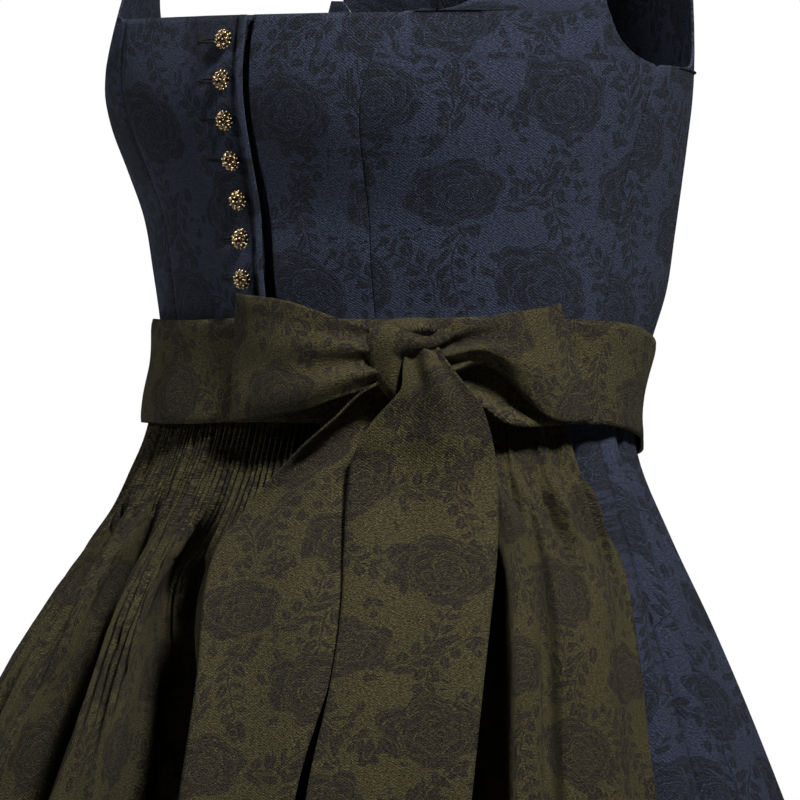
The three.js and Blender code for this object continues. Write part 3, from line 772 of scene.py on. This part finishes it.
def button_mesh(bm, painted_lightness, place):
    """One filigree dome: a cup painted dark as shade under the beads, a rope round its rim, curled wires and beads on
    the crown.
    """
    radius, crown, seat = 4.35, 3.2, 2.3

    # Each part's painted lightness: full on the beads that stand out, less on what lies deeper, as painted shade.
    def add(made, brightness):
        for vert in made["verts"]:
            vert[painted_lightness] = brightness

    def ball(turn, tilt, wide, tall, size, detail, brightness):
        """A ball at a turn round the dome and a tilt from its crown."""
        aside, up = math.sin(tilt) * wide, seat + math.cos(tilt) * tall
        spot = Matrix.Translation(Vector((aside * math.cos(turn), aside * math.sin(turn), up)) * MM)
        made = bmesh.ops.create_icosphere(bm, subdivisions=detail, radius=size * MM, matrix=place @ spot)
        add(made, brightness)

    def bead(turn, tilt, size, brightness=1.0, proud=0.25):
        ball(turn, tilt, radius + proud, crown + proud, size, 2, brightness)

    def wire(turn, tilt, across, size, beads):
        """A thin curl of wire round a place on the dome, as a ring of small beads."""
        for k in range(beads):
            swing = 2 * math.pi * k / beads
            aside = across * math.sin(swing) / max(0.3, math.sin(tilt))
            ball(turn + aside, tilt + across * math.cos(swing), radius * 0.97, crown * 0.97, size, 1, 0.55)

    dome = bmesh.ops.create_uvsphere(
        bm, u_segments=24, v_segments=12, radius=1.0,
        matrix=place
        @ Matrix.Translation((0, 0, seat * MM))
        @ Matrix.Diagonal((radius * 0.92 * MM, radius * 0.92 * MM, crown * 0.85 * MM, 1)),
    )
    # The cup is painted nearly black: painted shade under and between the beads.
    add(dome, 0.03)
    shank = bmesh.ops.create_cone(
        bm, segments=12, radius1=2.0 * MM, radius2=2.3 * MM, depth=2.2 * MM, cap_ends=True,
        matrix=place @ Matrix.Translation((0, 0, 1.1 * MM)),
    )
    add(shank, 0.4)
    for k in range(13):
        bead(2 * math.pi * k / 13, math.radians(86), 0.5, 0.7)
    for k in range(7):
        turn = 2 * math.pi * k / 7
        wire(turn, math.radians(52), 0.3, 0.19, 12)
        bead(turn, math.radians(52), 0.54)
        bead(turn + math.pi / 7, math.radians(67), 0.36, 0.9)
    for k in range(5):
        bead(2 * math.pi * (k + 0.5) / 5, math.radians(27), 0.46)
    bead(0, 0, 0.6)


class DIRNDL_OT_buttons(bpy.types.Operator):
    """Make the filigree dome buttons and seat them down the centre front"""

    bl_idname = "dirndl.buttons"
    bl_label = "Buttons"

    def execute(self, context):
        for k, height in enumerate(button_heights()):
            seat, out = button_place(height)
            facing = Vector(out).to_track_quat("Z", "Y").to_matrix().to_4x4()
            spun = Matrix.Rotation(0.9 * k, 4, "Z")
            place = Matrix.Translation(Vector(seat) * MM) @ facing @ spun
            bm = bmesh.new()
            painted_lightness = bm.verts.layers.float.new("painted_lightness")
            button_mesh(bm, painted_lightness, place)
            piece = finish_mesh(f"button_{k + 1}_filigree", bm, "gold")
            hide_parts(f"button_{k + 1}")
        return {"FINISHED"}


# ---- Skirt ----
skirt_depth_at = through([[-SKIRT_LENGTH, 30], [-450, 26], [-200, 18], [-120, 13], [-70, 9], [-25, 5], [0, 3]])
SKIRT_PLEATS = 36


def pleat_phase(angle):
    turn = angle / 360
    return SKIRT_PLEATS * turn + 0.22 * np.sin(6 * np.pi * turn) + 0.12 * np.sin(14 * np.pi * turn)


def skirt_points(start, stop):
    """A width of the skirt from one seam to the next, from hem to waist."""
    pleats = (stop - start) / 360 * SKIRT_PLEATS
    columns = round(pleats * 11)
    heights = -WAIST_GAP / 2 - (SKIRT_LENGTH - WAIST_GAP / 2) * (1 - np.linspace(0, 1, 66)) ** 1.35
    share, height = np.meshgrid(np.linspace(0, 1, columns + 1), heights)
    angle = mix(start, stop, share)
    turn = np.radians(angle)
    sway = 0.16 * np.sin(5 * turn + height / 150) * smooth(-height, 30, 300)
    sway += 0.1 * np.sin(13 * turn - height / 95) * smooth(-height, 60, 260)
    phase = pleat_phase(angle) + sway * smooth(np.minimum(share, 1 - share), 0, 0.02)
    depth = skirt_depth_at(height)[..., 0]
    broad = 0.5 + 0.5 * np.cos(np.pi * phase + 1.1 * np.sin(3 * turn))
    pleat = 0.15 + mix(0.55, 0.4, smooth(-height, 60, 300)) * wave(phase) * (0.45 + 0.55 * broad) + 0.4 * broad
    lift = -depth * pleat
    edge = apron_edge_at(np.maximum(height, -APRON_LENGTH))[..., 0]
    # The apron's share over each place, found in steps, as its folds lean.
    under = flat = (angle + edge) / (2 * edge)
    for _ in range(12):
        under = flat - lean(under, height)
    covered = smooth(np.minimum(under, 1 - under), 0, 0.02)
    hollow = HOLLOW * covered * troughs(under, height, 0.003) * smooth(-height, 46, 100)
    behind = HOLLOW_BESIDE_BOW * bell(under, 0.41, 0.15, 6) * smooth(-height, 46, 90) * (1 - smooth(-height, 380, 520))
    lift = lift - np.maximum(hollow * (1 - beside_bow(under, height)), behind)
    points = on_figure(angle, height, lift)[0]
    points[..., 2] += 2.5 * np.sin(9 * turn) * smooth(-height, 500, 680)
    return points


SKIRT_WIDTHS = {
    "skirt_front": (-92.5, 92.5, 0, 12),
    "skirt_back_left": (92.5, 180, 640, 30),
    "skirt_back_right": (180, 267.5, -640, 50),
}


class DIRNDL_OT_skirt(bpy.types.Operator):
    """Pleat the skirt's widths into the waist seam and let them hang"""

    bl_idname = "dirndl.skirt"
    bl_label = "Skirt"

    def execute(self, context):
        for part, (start, stop, across, up) in SKIRT_WIDTHS.items():
            points = skirt_points(start, stop)
            cut = cut_of(points, (across, up))
            piece = lay(f"{part}_cloth", part, points, cut, SKIRT_CLOTH, "navy")
            cut_of(points)
        return {"FINISHED"}


# ---- Apron ----
apron_edge_at = through(
    [[-APRON_LENGTH, 74], [-200, 77.3], [-130, 80.3], [-90, 82], [-60, 81.6], [-27, 80.3], [-10, 79.8]]
)
fold_depth_at = through(
    [[-APRON_LENGTH, 44], [-400, 38], [-200, 27], [-150, 21], [-110, 12], [-82, 5], [-60, 0], [-10, 0]]
)
APRON_TROUGHS = [
    # share of the way across, half width of the trough, depth, how far it drifts across towards the hem
    (0.075, 0.02, 0.8, 0.004),
    (0.185, 0.026, 0.95, -0.006),
    (0.285, 0.022, 0.85, 0.006),
    (0.39, 0.030, 1.1, 0.0),
    (0.492, 0.034, 1.3, 0.0),
    (0.69, 0.024, 0.8, -0.004),
    (0.836, 0.02, 1.7, -0.004),
    (0.893, 0.009, 0.13, -0.008),
]
# Small hollows where the gathers end beside the bow.
CRUMPLES = [
    # share of the way across, height, half width, half length, depth, how far across it strays for each mm down
    (0.872, -50, 0.010, 13, 15, 0.0007),
    (0.917, -58, 0.009, 20, 14, 0.0005),
    (0.845, -66, 0.007, 11, 9, 0.0003),
]
RIBS, RIB_DEPTH, APRON_REACH = 108, 6.2, 7.0
# How far in from its side edges the apron's lines of stitches lie, as a share of its width, and about how wide it is.
HEM, APRON_WIDTH = 0.034, 440
# How much of the cloth each rib shows.
RIB_STRIP = 4
# How deep the apron's troughs press in, and the skirt under them and under those beside the bow.
DIP, HOLLOW, HOLLOW_BESIDE_BOW = 40, 42, 52
# The way the troughs beside the bow reach in.
SLANT = np.array([math.sin(math.radians(52)), -math.cos(math.radians(52)), 0])


def lean(share, height):
    """How far across the folds beside the bow stray, which hang straighter than the apron flares."""
    return 0.078 * smooth(-height, 82, 205) * bell(share, 0.51, 0.09)


def troughs(share, height, roomier=0.0):
    """How deep in a trough a place is, from 0 on a fold to about 1. A trough starts as a slit and widens."""
    low = smooth(-height, 60, APRON_LENGTH)
    trough = 0
    for at, wide, deep, drift in APRON_TROUGHS:
        spread = wide * mix(0.75, 1.15, low) * mix(0.6, 1, smooth(-height, 54, 108)) + roomier
        trough = trough + deep * np.exp(-(np.abs((share - at - drift * low) / spread) ** 5))
    return trough


def beside_bow(share, height):
    """From 0 to 1 where the troughs beside the bow reach in slantwise, so that their sides stay hidden."""
    return bell(share, 0.46, 0.1, 6) * (1 - smooth(-height, 240, 380))


def folding(share, height):
    """How far out a fold stands, from 0 in a trough to 1."""
    trough = troughs(share, height)
    edge = 0.55 * bell(share, 0, 0.02) + 0.7 * bell(1 - share, 0, 0.035)
    hill = 0.055 * np.cos(2 * np.pi * (23 * share + 0.3 * np.sin(9 * share)) + 1.2 * np.sin(height / 120))
    hill = hill + 0.03 * np.sin(2 * np.pi * 9.3 * share + height / 170)
    trough = np.minimum(1, trough)
    return np.maximum(0, 0.98 - 1.1 * trough - edge + hill * (1 - np.minimum(1, trough + edge)))


def rib_luck(share, seed):
    """A number from 0 to 1 that changes smoothly from rib to rib."""
    at = np.clip(share, 0, 1) * RIBS
    values = np.random.RandomState(seed).rand(RIBS + 3)
    return np.interp(at, np.arange(RIBS + 3) - 0.5, values)


def apron_points(shares, heights):
    """Places on the apron: round ribs under the band, small tucks where they run out, and large folds below."""
    share, height = np.meshgrid(shares, heights)
    edge = apron_edge_at(height)[..., 0]
    right = smooth(share, 0.62, 0.7)
    ends = mix(136, 215, rib_luck(share, 5)) - mix(0, 122, right)
    ribbed = 1 - smooth(-height, ends - mix(58, 25, right), ends)
    jog = 0.2 * np.sin(height / 16 + 40 * share) * smooth(-height, 30, 70)
    narrow = wave(RIBS * share + 0.5 + jog) ** 1.4
    tall = mix(0.66, 1.0, rib_luck(share, 9))
    ribs = RIB_DEPTH * ribbed * (narrow * tall - 1)
    tucks = np.exp(-(((height + mix(112, 70, right)) / mix(50, 24, right)) ** 2))
    tuck_phase = RIBS * 0.25 * share + 0.9 * rib_luck(share, 3) + 0.2 * np.sin(height / 30)
    tucked = mix(2.6, 6.0, right) * tucks * (wave(tuck_phase) - 1)
    later = smooth(-height, 100, 150) * (1 - 0.6 * smooth(-height, 200, 420))
    ripples = 1.5 * later * np.sin(2 * np.pi * 15 * share + 2 * np.sin(12 * share) + height / 60)
    fold = fold_depth_at(height)[..., 0] * folding(share, height)
    reach = mix(APRON_REACH, 3.4, smooth(-height, mix(96, 60, right), mix(160, 110, right)))
    reach = reach - 2.6 * right * smooth(-height, 20, 27) * (1 - smooth(-height, 44, 54))
    reach = reach + 6.5 * right * smooth(-height, 44, 62) * (1 - smooth(-height, 84, 190))
    for at, middle, wide, long, deep, stray in CRUMPLES:
        away = (share - at + stray * (height - middle)) / wide
        reach = reach - deep * np.exp(-(away**2) - ((height - middle) / long) ** 2)
    hem = np.minimum(np.abs(share - HEM), np.abs(share - (1 - HEM))) * APRON_WIDTH
    reach = reach - 0.6 * bell(hem, 0, 1.3)
    trough = troughs(share, height)
    ribs = ribs * (1 - 0.85 * np.minimum(1, trough) * smooth(-height, 70, 96))
    lift = np.maximum(0.7, reach + ribs + tucked + fold + ripples * np.minimum(1, fold / 8))
    points, out = on_figure(mix(-edge, edge, share + lean(share, height)), height, lift)
    inward = unit(mix(out, SLANT, beside_bow(share, height)[..., None]))
    return points - inward * (DIP * trough * smooth(-height, 58, 110))[..., None], out


class DIRNDL_OT_apron(bpy.types.Operator):
    """Gather the apron under its band and let it fall in folds, with its sewn side edges"""

    bl_idname = "dirndl.apron"
    bl_label = "Apron"

    def execute(self, context):
        shares = np.linspace(0, 1, RIBS * 5 + 1)
        top = np.linspace(-11, -122, 42)
        heights = np.concatenate([top, np.linspace(-122, -APRON_LENGTH, 38)[1:]])[::-1]
        points = apron_points(shares, heights)[0]
        # The cloth is cut straight. In the gathers each rib shows its own strip of it, and the rest is tucked away.
        cut = cut_of(points)
        plain = cut[np.argmin(np.abs(heights + 330)), :, 0]
        rib = np.minimum(np.floor(shares * RIBS), RIBS - 1)
        strip = np.interp((rib + 0.5) / RIBS, shares, plain) + (shares * RIBS - rib - 0.5) * RIB_STRIP
        gathered = 1 - smooth(-heights, 60, 100)
        cut[..., 0] = mix(plain[None, :], strip[None, :], gathered[:, None]) + 22
        piece = lay("apron_cloth", "apron_panel", points, cut, APRON_CLOTH, "olive")
        for side, share in (("left", 1 - HEM), ("right", HEM)):
            line, out = apron_points([share], np.linspace(-70, -APRON_LENGTH + 12, 260))
            line, out = line[:, 0], out[:, 0]
            stitches(f"apron_hem_stitches_{side}", line + out * 0.1, out, 3.2, 0.34, "olive_thread")
        return {"FINISHED"}


# ---- Waistband ----
# How far the band stands off what it lies on. Its wall is thinner, so that its inner side clears the bodice.
BAND_CLOTH, BAND_WALL = 2.4, 1.5
band_lift_at = through([
    [BAND_BOTTOM, APRON_REACH + 0.5, 1.2],
    [-11, APRON_REACH + 0.5, 0.8],
    [7, 4.4, 0.8],
    [BAND_TOP, LAP_LIFT + 0.5, 0.8],
])


def band_lift(angle, height):
    lift = band_lift_at(np.clip(height, BAND_BOTTOM, BAND_TOP))
    return mix(lift[..., 0], lift[..., 1], smooth(from_front(angle), 84, 104)) + BAND_CLOTH


def band_points(start, stop):
    heights = np.linspace(BAND_BOTTOM, BAND_TOP, 19)
    columns = round((stop - start) * 1.5)
    share, height = np.meshgrid(np.linspace(0, 1, columns + 1), heights)
    angle = mix(start, stop, share)
    up = (height - BAND_BOTTOM) / (BAND_TOP - BAND_BOTTOM)
    turn = np.radians(angle)
    soft = 0.35 * np.sin(11 * turn + 2 * up) + 0.3 * np.sin(23 * turn - 4 * up) * (1 - up)
    drag = 0.5 * np.sin(np.pi * 3 * up + 1.5 * np.sin(3 * turn)) * bell(angle, 44, 38)
    rolled = -0.9 * rims(up, 0.05)
    ends = smooth(np.minimum(share, 1 - share), 0, 0.03)
    points = on_figure(angle, height, band_lift(angle, height) + (soft + drag) * ends + rolled)[0]
    points[..., 2] += 0.5 * np.sin(7 * turn + 1) * ends
    return points


class DIRNDL_OT_waistband(bpy.types.Operator):
    """Lay the waistband round the front and the ties round the back"""

    bl_idname = "dirndl.waistband"
    bl_label = "Waistband"

    def execute(self, context):
        for part, start, stop, across in (("waistband", -140, 140, 10), ("tie_round_back", 140, 220, 420)):
            points = band_points(start, stop)
            cut = cut_of(points, (across, 30))
            piece = lay(f"{part}_cloth", part, points, cut, BAND_WALL, "olive")
        return {"FINISHED"}


# ---- Bow ----
BOW_TURN = 44.2
TIE_CLOTH = 1.6
ACROSS = np.array([math.cos(math.radians(BOW_TURN)), math.sin(math.radians(BOW_TURN)), 0])


def in_front(across, height, lift):
    """Places as seen from straight in front of the bow: across to the right, height, and lift."""
    across, height, lift = np.broadcast_arrays(*[np.asarray(a, float) for a in (across, height, lift)])
    low, high = np.full(across.shape, BOW_TURN - 95.0), np.full(across.shape, BOW_TURN + 85.0)
    for _ in range(34):
        angle = (low + high) / 2
        short = on_figure(angle, height, lift)[0] @ ACROSS < across
        low, high = np.where(short, angle, low), np.where(short, high, angle)
    return on_figure((low + high) / 2, height, lift)


def band_face(height):
    return band_lift(np.zeros(np.shape(height)), height)


left_loop_at = through([
    # share of the way out, lower and upper edge (across, height)
    [0, -2, -2, -2, 13],
    [0.25, -22, -9, -20, 22],
    [0.5, -43, -16.5, -40, 29],
    [0.75, -63, -20.5, -60, 34.5],
    [1, -82.6, -23, -79.4, 38.6],
])
right_loop_at = through([
    [0, 14, -1, 14, 12],
    [0.25, 31, -11, 28, 20.5],
    [0.5, 50, -24, 44, 26.5],
    [0.75, 71, -25.5, 60, 30.5],
    [1, 91, -22.5, 75, 33],
])
LOOPS = {
    # outline, creases from the knot, their phase, how high the front's lower edge is tucked up, turned over,
    # place of the cut
    "bow_loop_left": (left_loop_at, 2.4, 0.3, 0, True, (60, 18)),
    "bow_loop_right": (right_loop_at, 2.1, 0.75, 22, False, (-30, 70)),
}


def loop_points(outline_at, folds, phase, tuck):
    """A loop's path out along the band, over its fold and back in front, with creases that run out of the knot."""
    rounded = np.linspace(-np.pi / 2, np.pi / 2, 13)
    out = np.concatenate([np.linspace(0, 0.955, 34), 0.965 + 0.035 * np.cos(rounded)[1:-1], np.linspace(0.955, 0, 50)])
    front = np.concatenate([np.zeros(34), 0.5 + 0.5 * np.sin(rounded)[1:-1], np.ones(50)])
    out, front, share = out[:, None], front[:, None], np.linspace(0, 1, 37)
    edges = outline_at(out)
    across = mix(edges[..., 0], edges[..., 2], share)
    height = mix(edges[..., 1], edges[..., 3], share)
    back_lift = 1 + TIE_CLOTH + 6 * (1 - out) ** 3
    belly = np.sin(np.pi * out) * (0.78 + 0.22 * np.sin(np.pi * share))
    front_lift = 4.6 + TIE_CLOTH + 9 * (1 - out) ** 2 + 15 * belly
    crease = (1 - out) ** 1.3 * smooth(out, 0, 0.12)
    front_lift = front_lift + 3.4 * crease * np.cos(2 * np.pi * (folds * share + phase) + 2.2 * out)
    front_lift = front_lift + 0.8 * np.sin(7 * out + 5 * share) * out * (1 - out) * 4 - 1.3 * rims(share, 0.06)
    tucked = tuck * bell(out, 0.42, 0.24) * smooth(out, 0.02, 0.12)
    height = height + tucked * front * (1 - share) ** 1.5
    front_lift = front_lift - 0.42 * tucked * bell(share, 0, 0.2)
    back_lift = back_lift + 0.32 * tucked * bell(share, 0.03, 0.08)
    height = height + 1.1 * np.sin(9 * out + phase * 5) * (share - 0.3) * smooth(out, 0.1, 0.4)
    return in_front(across, height, band_face(height) + mix(back_lift, front_lift, front))[0]


right_tail_at = through([
    # height, left and right edge across, lift above the apron or the band
    [-420, -73, 7, 5],
    [-300, -61, 19, 5],
    [-191, -45.4, 31.5, 5],
    [-148, -35.6, 36.5, 5],
    [-112, -30, 41, 5],
    [-86, -28.6, 44, 5.6],
    [-58, -27, 45, 8],
    [-40, -24, 43.6, 12],
    [-24, -15.5, 40, 15.5],
    [-16, -8.5, 37, 17.5],
    [-8, -1.5, 30.5, 19.5],
    [2, -0.5, 22.5, 20.5],
    [10, 1.0, 17, 18],
    [15, 4.0, 14, 14],
])
left_tail_at = through([
    [-400, -128, -80, 1.6],
    [-300, -121, -68, 1.6],
    [-191, -105, -50, 1.6],
    [-139, -97.5, -33.5, 1.6],
    [-103, -94.5, -26, 1.6],
    [-81, -88, -20, 1.6],
    [-65, -75, -12, 2.2],
    [-45, -58, -8, 4.6],
    [-30, -42.5, -5, 8],
    [-22, -33, -3, 10.5],
    [-15, -26, -1, 12],
    [-9.5, -19.5, 1, 13],
    [-5, -11, 3, 14],
])


def tail_ground(height):
    """What the tails lie on: the band near the waist, and the apron's outermost folds below it."""
    apron = APRON_REACH + fold_depth_at(np.minimum(height, -10))[..., 0]
    return np.maximum(apron, mix(apron, band_face(height), smooth(height, -44, BAND_BOTTOM - 4)))


def tail_points(table_at, lowest, highest, slant, roll, dip, folds, phase):
    """A hanging end of a tie, with soft folds that run down from the knot, a raised left rim and a dip beside it."""
    count = round((highest - lowest) / 2.6)
    heights, share = np.linspace(lowest, highest, count + 1)[:, None], np.linspace(0, 1, 41)
    left, right, lift = np.moveaxis(table_at(heights), -1, 0)
    height = heights - slant * share * (1 - smooth(heights, lowest, lowest + 70))
    near = smooth(heights, -120, -15)
    crease = mix(0.9, 2.4, near) * np.cos(2 * np.pi * (folds * share + phase) + heights / 46)
    hang = 1.5 * np.sin(2 * np.pi * (share + heights / 260)) * (1 - near)
    rolled = roll * bell(share, 0, 0.08) * smooth(heights, -95, -30)
    rolled = rolled - dip * smooth(share, 0.03, 0.14) * bell(heights, -18, 18)
    above = lift + 1.2 + crease + hang + rolled - 0.9 * rims(share, 0.04)
    ground = tail_ground(height) + TIE_CLOTH
    return in_front(mix(left, right, share), height, ground + np.maximum(0.4, above))[0]


class DIRNDL_OT_bow(bpy.types.Operator):
    """Fold the bow's loops and let the ends of the ties hang"""

    bl_idname = "dirndl.bow"
    bl_label = "Bow loops and tails"

    def execute(self, context):
        for part, (outline_at, folds, phase, tuck, flip, place) in LOOPS.items():
            points = loop_points(outline_at, folds, phase, tuck)
            cut = cut_of(points)[..., ::-1] + np.array(place)
            piece = lay(f"{part}_cloth", part, points, cut, TIE_CLOTH, "olive", flip)
            cut_of(points)
        tails = {
            "bow_tail_right": ((right_tail_at, -420, 15, 25, 0.0, 0.0, 1.6, 0.1), (36, 20)),
            "bow_tail_left": ((left_tail_at, -400, -5, -20, 5.5, 19.0, 1.2, 0.55), (120, 44)),
        }
        for part, (shape, place) in tails.items():
            points = tail_points(*shape)
            cut = cut_of(points, place)
            piece = lay(f"{part}_cloth", part, points, cut, TIE_CLOTH, "olive")
        return {"FINISHED"}


KNOT_FOLDS = {
    # outer edge (across, height), inner edge (across, height), lift at the edges, rise between them
    "bow_knot_wrap": [
        [-5.7, -11.6, -2.4, -13.0, 13, 0.6],
        [-11.8, -3.5, -3.3, -6.4, 13, 6],
        [-15.6, 5.0, -1.4, 2.2, 13, 10],
        [-17.0, 12.6, 0.5, 7.4, 13, 12],
        [-14.2, 19.3, 2.8, 8.8, 14, 12.5],
        [-7.6, 21.6, 5.6, 9.9, 15, 11.5],
        [0.9, 20.6, 9.4, 11.2, 16.5, 8.5],
        [9.0, 18.9, 14.0, 12.8, 17.5, 3.6],
        [16.4, 18.7, 18.6, 15.2, 18, 0.5],
        [20.4, 18.6, 21.4, 16.9, 17.5, 0.1],
        [22.9, 18.3, 23.1, 17.8, 16.5, 0.0],
    ],
    "bow_knot_top": [
        [-15.2, 16.4, -11.4, 13.1, 10, 1],
        [-11.4, 21.1, -5.7, 16.4, 11, 7],
        [-4.7, 23.8, 0.0, 17.3, 12, 10],
        [2.4, 24.6, 5.7, 17.3, 13, 10.5],
        [9.5, 24.4, 11.4, 18.2, 14.5, 9.5],
        [13.4, 23.2, 13.9, 19.4, 16, 6],
        [14.8, 22.2, 14.8, 20.6, 17, 2],
    ],
    "bow_knot_core": [
        [-13, 11, -13, 6, 2, 1],
        [-9, 16, -9, 4, 3, 7],
        [0, 19, 0, 5, 4, 11],
        [9, 20, 9, 4, 4, 12],
        [17, 19, 18, 0, 4, 10],
        [23, 16, 25, 2, 3, 6],
        [27, 12, 28, 6, 2, 1],
    ],
}


def fold_points(table):
    """A rounded fold of cloth between an outer and an inner edge."""
    rows = np.array(table, float)
    path = run_along((rows[:, :2] + rows[:, 2:4]) / 2)
    at = np.linspace(0, path[-1], 49)[:, None]
    columns = through(np.column_stack([path, rows]))(at)
    outer_x, outer_y, inner_x, inner_y, low, rise = np.moveaxis(columns, -1, 0)
    swing = np.linspace(0, np.pi, 29)
    share, bulge = 0.5 - 0.5 * np.cos(swing), np.sin(swing) ** 0.75
    crease = 0.7 * np.cos(2 * np.pi * share + 4 * at / path[-1]) * bulge * np.minimum(1, rise / 8)
    height = mix(outer_y, inner_y, share)
    return in_front(mix(outer_x, inner_x, share), height, band_face(height) + low + rise * bulge + crease)[0]


class DIRNDL_OT_knot(bpy.types.Operator):
    """Wrap the knot of the bow, with the fold that sticks out beside it"""

    bl_idname = "dirndl.knot"
    bl_label = "Bow knot"

    def execute(self, context):
        for name, table in KNOT_FOLDS.items():
            points = fold_points(table)[:, ::-1]
            cut = cut_of(points, (14, 52))
            piece = lay(name, "bow_knot", points, cut, TIE_CLOTH, "olive")
        return {"FINISHED"}


# ---- Stage ----
VIEW_AZIMUTH, VIEW_DISTANCE, VIEW_HEIGHT = 43.5, 6.0, -0.013
# The lens's focal length and the render's width, both in pixels, and the sensor's width in millimetres.
FOCAL, RENDER_WIDTH, SENSOR = 12380, 800, 36
FLOOR_SIZE, FLOOR_GAP = 9.0, 0.012
LAMPS = {
    # azimuth, elevation, distance, size, power, spread of its beam
    "key": (72, 40, 2.4, 0.4, 9.3, 56),
    "fill": (-50, 25, 3.0, 0.5, 32, 180),
    "back": (222, 34, 3.0, 0.8, 50, 180),
}


def aim(name, data, azimuth, elevation, distance, height):
    """Sets a lamp or the camera at a distance from the axis and turns it to the axis at a height, in metres."""
    a, e = math.radians(azimuth), math.radians(elevation)
    back = Vector((math.sin(a) * math.cos(e), -math.cos(a) * math.cos(e), math.sin(e)))
    holder = bpy.data.objects.new(name, data)
    holder.location = back * distance + Vector((0, 0, height))
    holder.rotation_mode = "QUATERNION"
    holder.rotation_quaternion = (-back).to_track_quat("-Z", "Y")
    bpy.context.scene.collection.objects.link(holder)
    return holder


def show_camera(tree, plain, seen, share):
    """Shows the camera a share of what is seen, while the light comes from the plain shader alone."""
    ray = node(tree, "ShaderNodeLightPath", output="Is Camera Ray")
    shown = node(tree, "ShaderNodeMixShader", {0: ray * share, 1: Value(tree, plain.outputs[0]), 2: seen})
    end = next(made for made in tree.nodes if made.type.startswith("OUTPUT"))
    tree.links.new(shown.socket, end.inputs[0])


class DIRNDL_OT_stage(bpy.types.Operator):
    """Lay the pale floor, hang the studio lights and set the camera"""

    bl_idname = "dirndl.stage"
    bl_label = "Floor, lights and camera"

    def execute(self, context):
        scene = context.scene
        under = Matrix.Translation((0, 0, -SKIRT_LENGTH * MM - FLOOR_GAP))
        bm = bmesh.new()
        bmesh.ops.create_grid(bm, x_segments=1, y_segments=1, size=FLOOR_SIZE, matrix=under)
        mesh = bpy.data.meshes.new("floor")
        bm.to_mesh(mesh)
        bm.free()
        floor = bpy.data.objects.new("floor", mesh)
        scene.collection.objects.link(floor)
        pale = bpy.data.materials.new("Pale floor")
        pale.use_nodes = True
        tree = pale.node_tree
        matt = tree.nodes["Principled BSDF"]
        matt.inputs["Base Color"].default_value = (0.8, 0.8, 0.79, 1)
        matt.inputs["Roughness"].default_value = 0.9
        show_camera(tree, matt, node(tree, "ShaderNodeEmission", {"Color": (0.955, 0.955, 0.95, 1)}), 0.85)
        mesh.materials.append(pale)

        world = bpy.data.worlds.new("Studio")
        world.use_nodes = True
        tree = world.node_tree
        room = tree.nodes["Background"]
        room.inputs["Color"].default_value = (0.95, 0.97, 1, 1)
        room.inputs["Strength"].default_value = 0.02
        show_camera(tree, room, node(tree, "ShaderNodeBackground", {"Color": (1, 1, 1, 1)}), 1.0)
        scene.world = world
        scene.view_settings.view_transform = "Standard"

        for name, (azimuth, elevation, distance, size, power, spread) in LAMPS.items():
            lamp = bpy.data.lights.new(name, "AREA")
            lamp.size, lamp.energy, lamp.spread = size, power, math.radians(spread)
            aim(name, lamp, azimuth, elevation, distance, 0.1)
        lens = bpy.data.cameras.new("camera")
        lens.sensor_width = SENSOR
        lens.lens = FOCAL / RENDER_WIDTH * SENSOR
        lens.clip_end = 60
        scene.camera = aim("camera", lens, VIEW_AZIMUTH, 0, VIEW_DISTANCE, VIEW_HEIGHT)
        return {"FINISHED"}


# ---- The add-on ----
def tone(name, description, default):
    """A colour that the panel shows."""
    return FloatVectorProperty(
        name=name, description=description, subtype="COLOR", size=3, default=default, min=0, max=1
    )


class DirndlColours(bpy.types.PropertyGroup):
    navy_ground: tone("Navy ground", "Ground of the dress cloth", (0.0285, 0.034, 0.055))
    navy_motif: tone("Navy motif", "Roses and leaves of the dress cloth", (0.0145, 0.0158, 0.0205))
    olive_ground: tone("Olive ground", "Ground of the apron cloth", (0.046, 0.0405, 0.0195))
    olive_motif: tone("Olive motif", "Roses and leaves of the apron cloth", (0.0215, 0.0178, 0.0145))
    gold: tone("Gold", "The buttons' bright metal", (0.88, 0.66, 0.38))


PIECES = ["bodice", "placket", "buttons", "skirt", "apron", "waistband", "bow", "knot", "stage"]


class DIRNDL_PT_pieces(bpy.types.Panel):
    """The dirndl's pieces, in the order in which they are made"""

    bl_label = "Dirndl"
    bl_idname = "DIRNDL_PT_pieces"
    bl_space_type = "VIEW_3D"
    bl_region_type = "UI"
    bl_category = "Dirndl"

    def draw(self, context):
        for key in DirndlColours.__annotations__:
            self.layout.prop(context.scene.dirndl_colours, key)
        for piece in PIECES:
            self.layout.operator(f"dirndl.{piece}")


CLASSES = [
    DirndlColours, DIRNDL_OT_bodice, DIRNDL_OT_placket, DIRNDL_OT_buttons, DIRNDL_OT_skirt, DIRNDL_OT_apron,
    DIRNDL_OT_waistband, DIRNDL_OT_bow, DIRNDL_OT_knot, DIRNDL_OT_stage, DIRNDL_PT_pieces,
]


def register():
    for made in CLASSES:
        bpy.utils.register_class(made)
    bpy.types.Scene.dirndl_colours = PointerProperty(type=DirndlColours)


def unregister():
    del bpy.types.Scene.dirndl_colours
    for made in reversed(CLASSES):
        bpy.utils.unregister_class(made)


def main():
    register()
    for piece in PIECES:
        getattr(bpy.ops.dirndl, piece)()


if __name__ == "__main__":
    main()
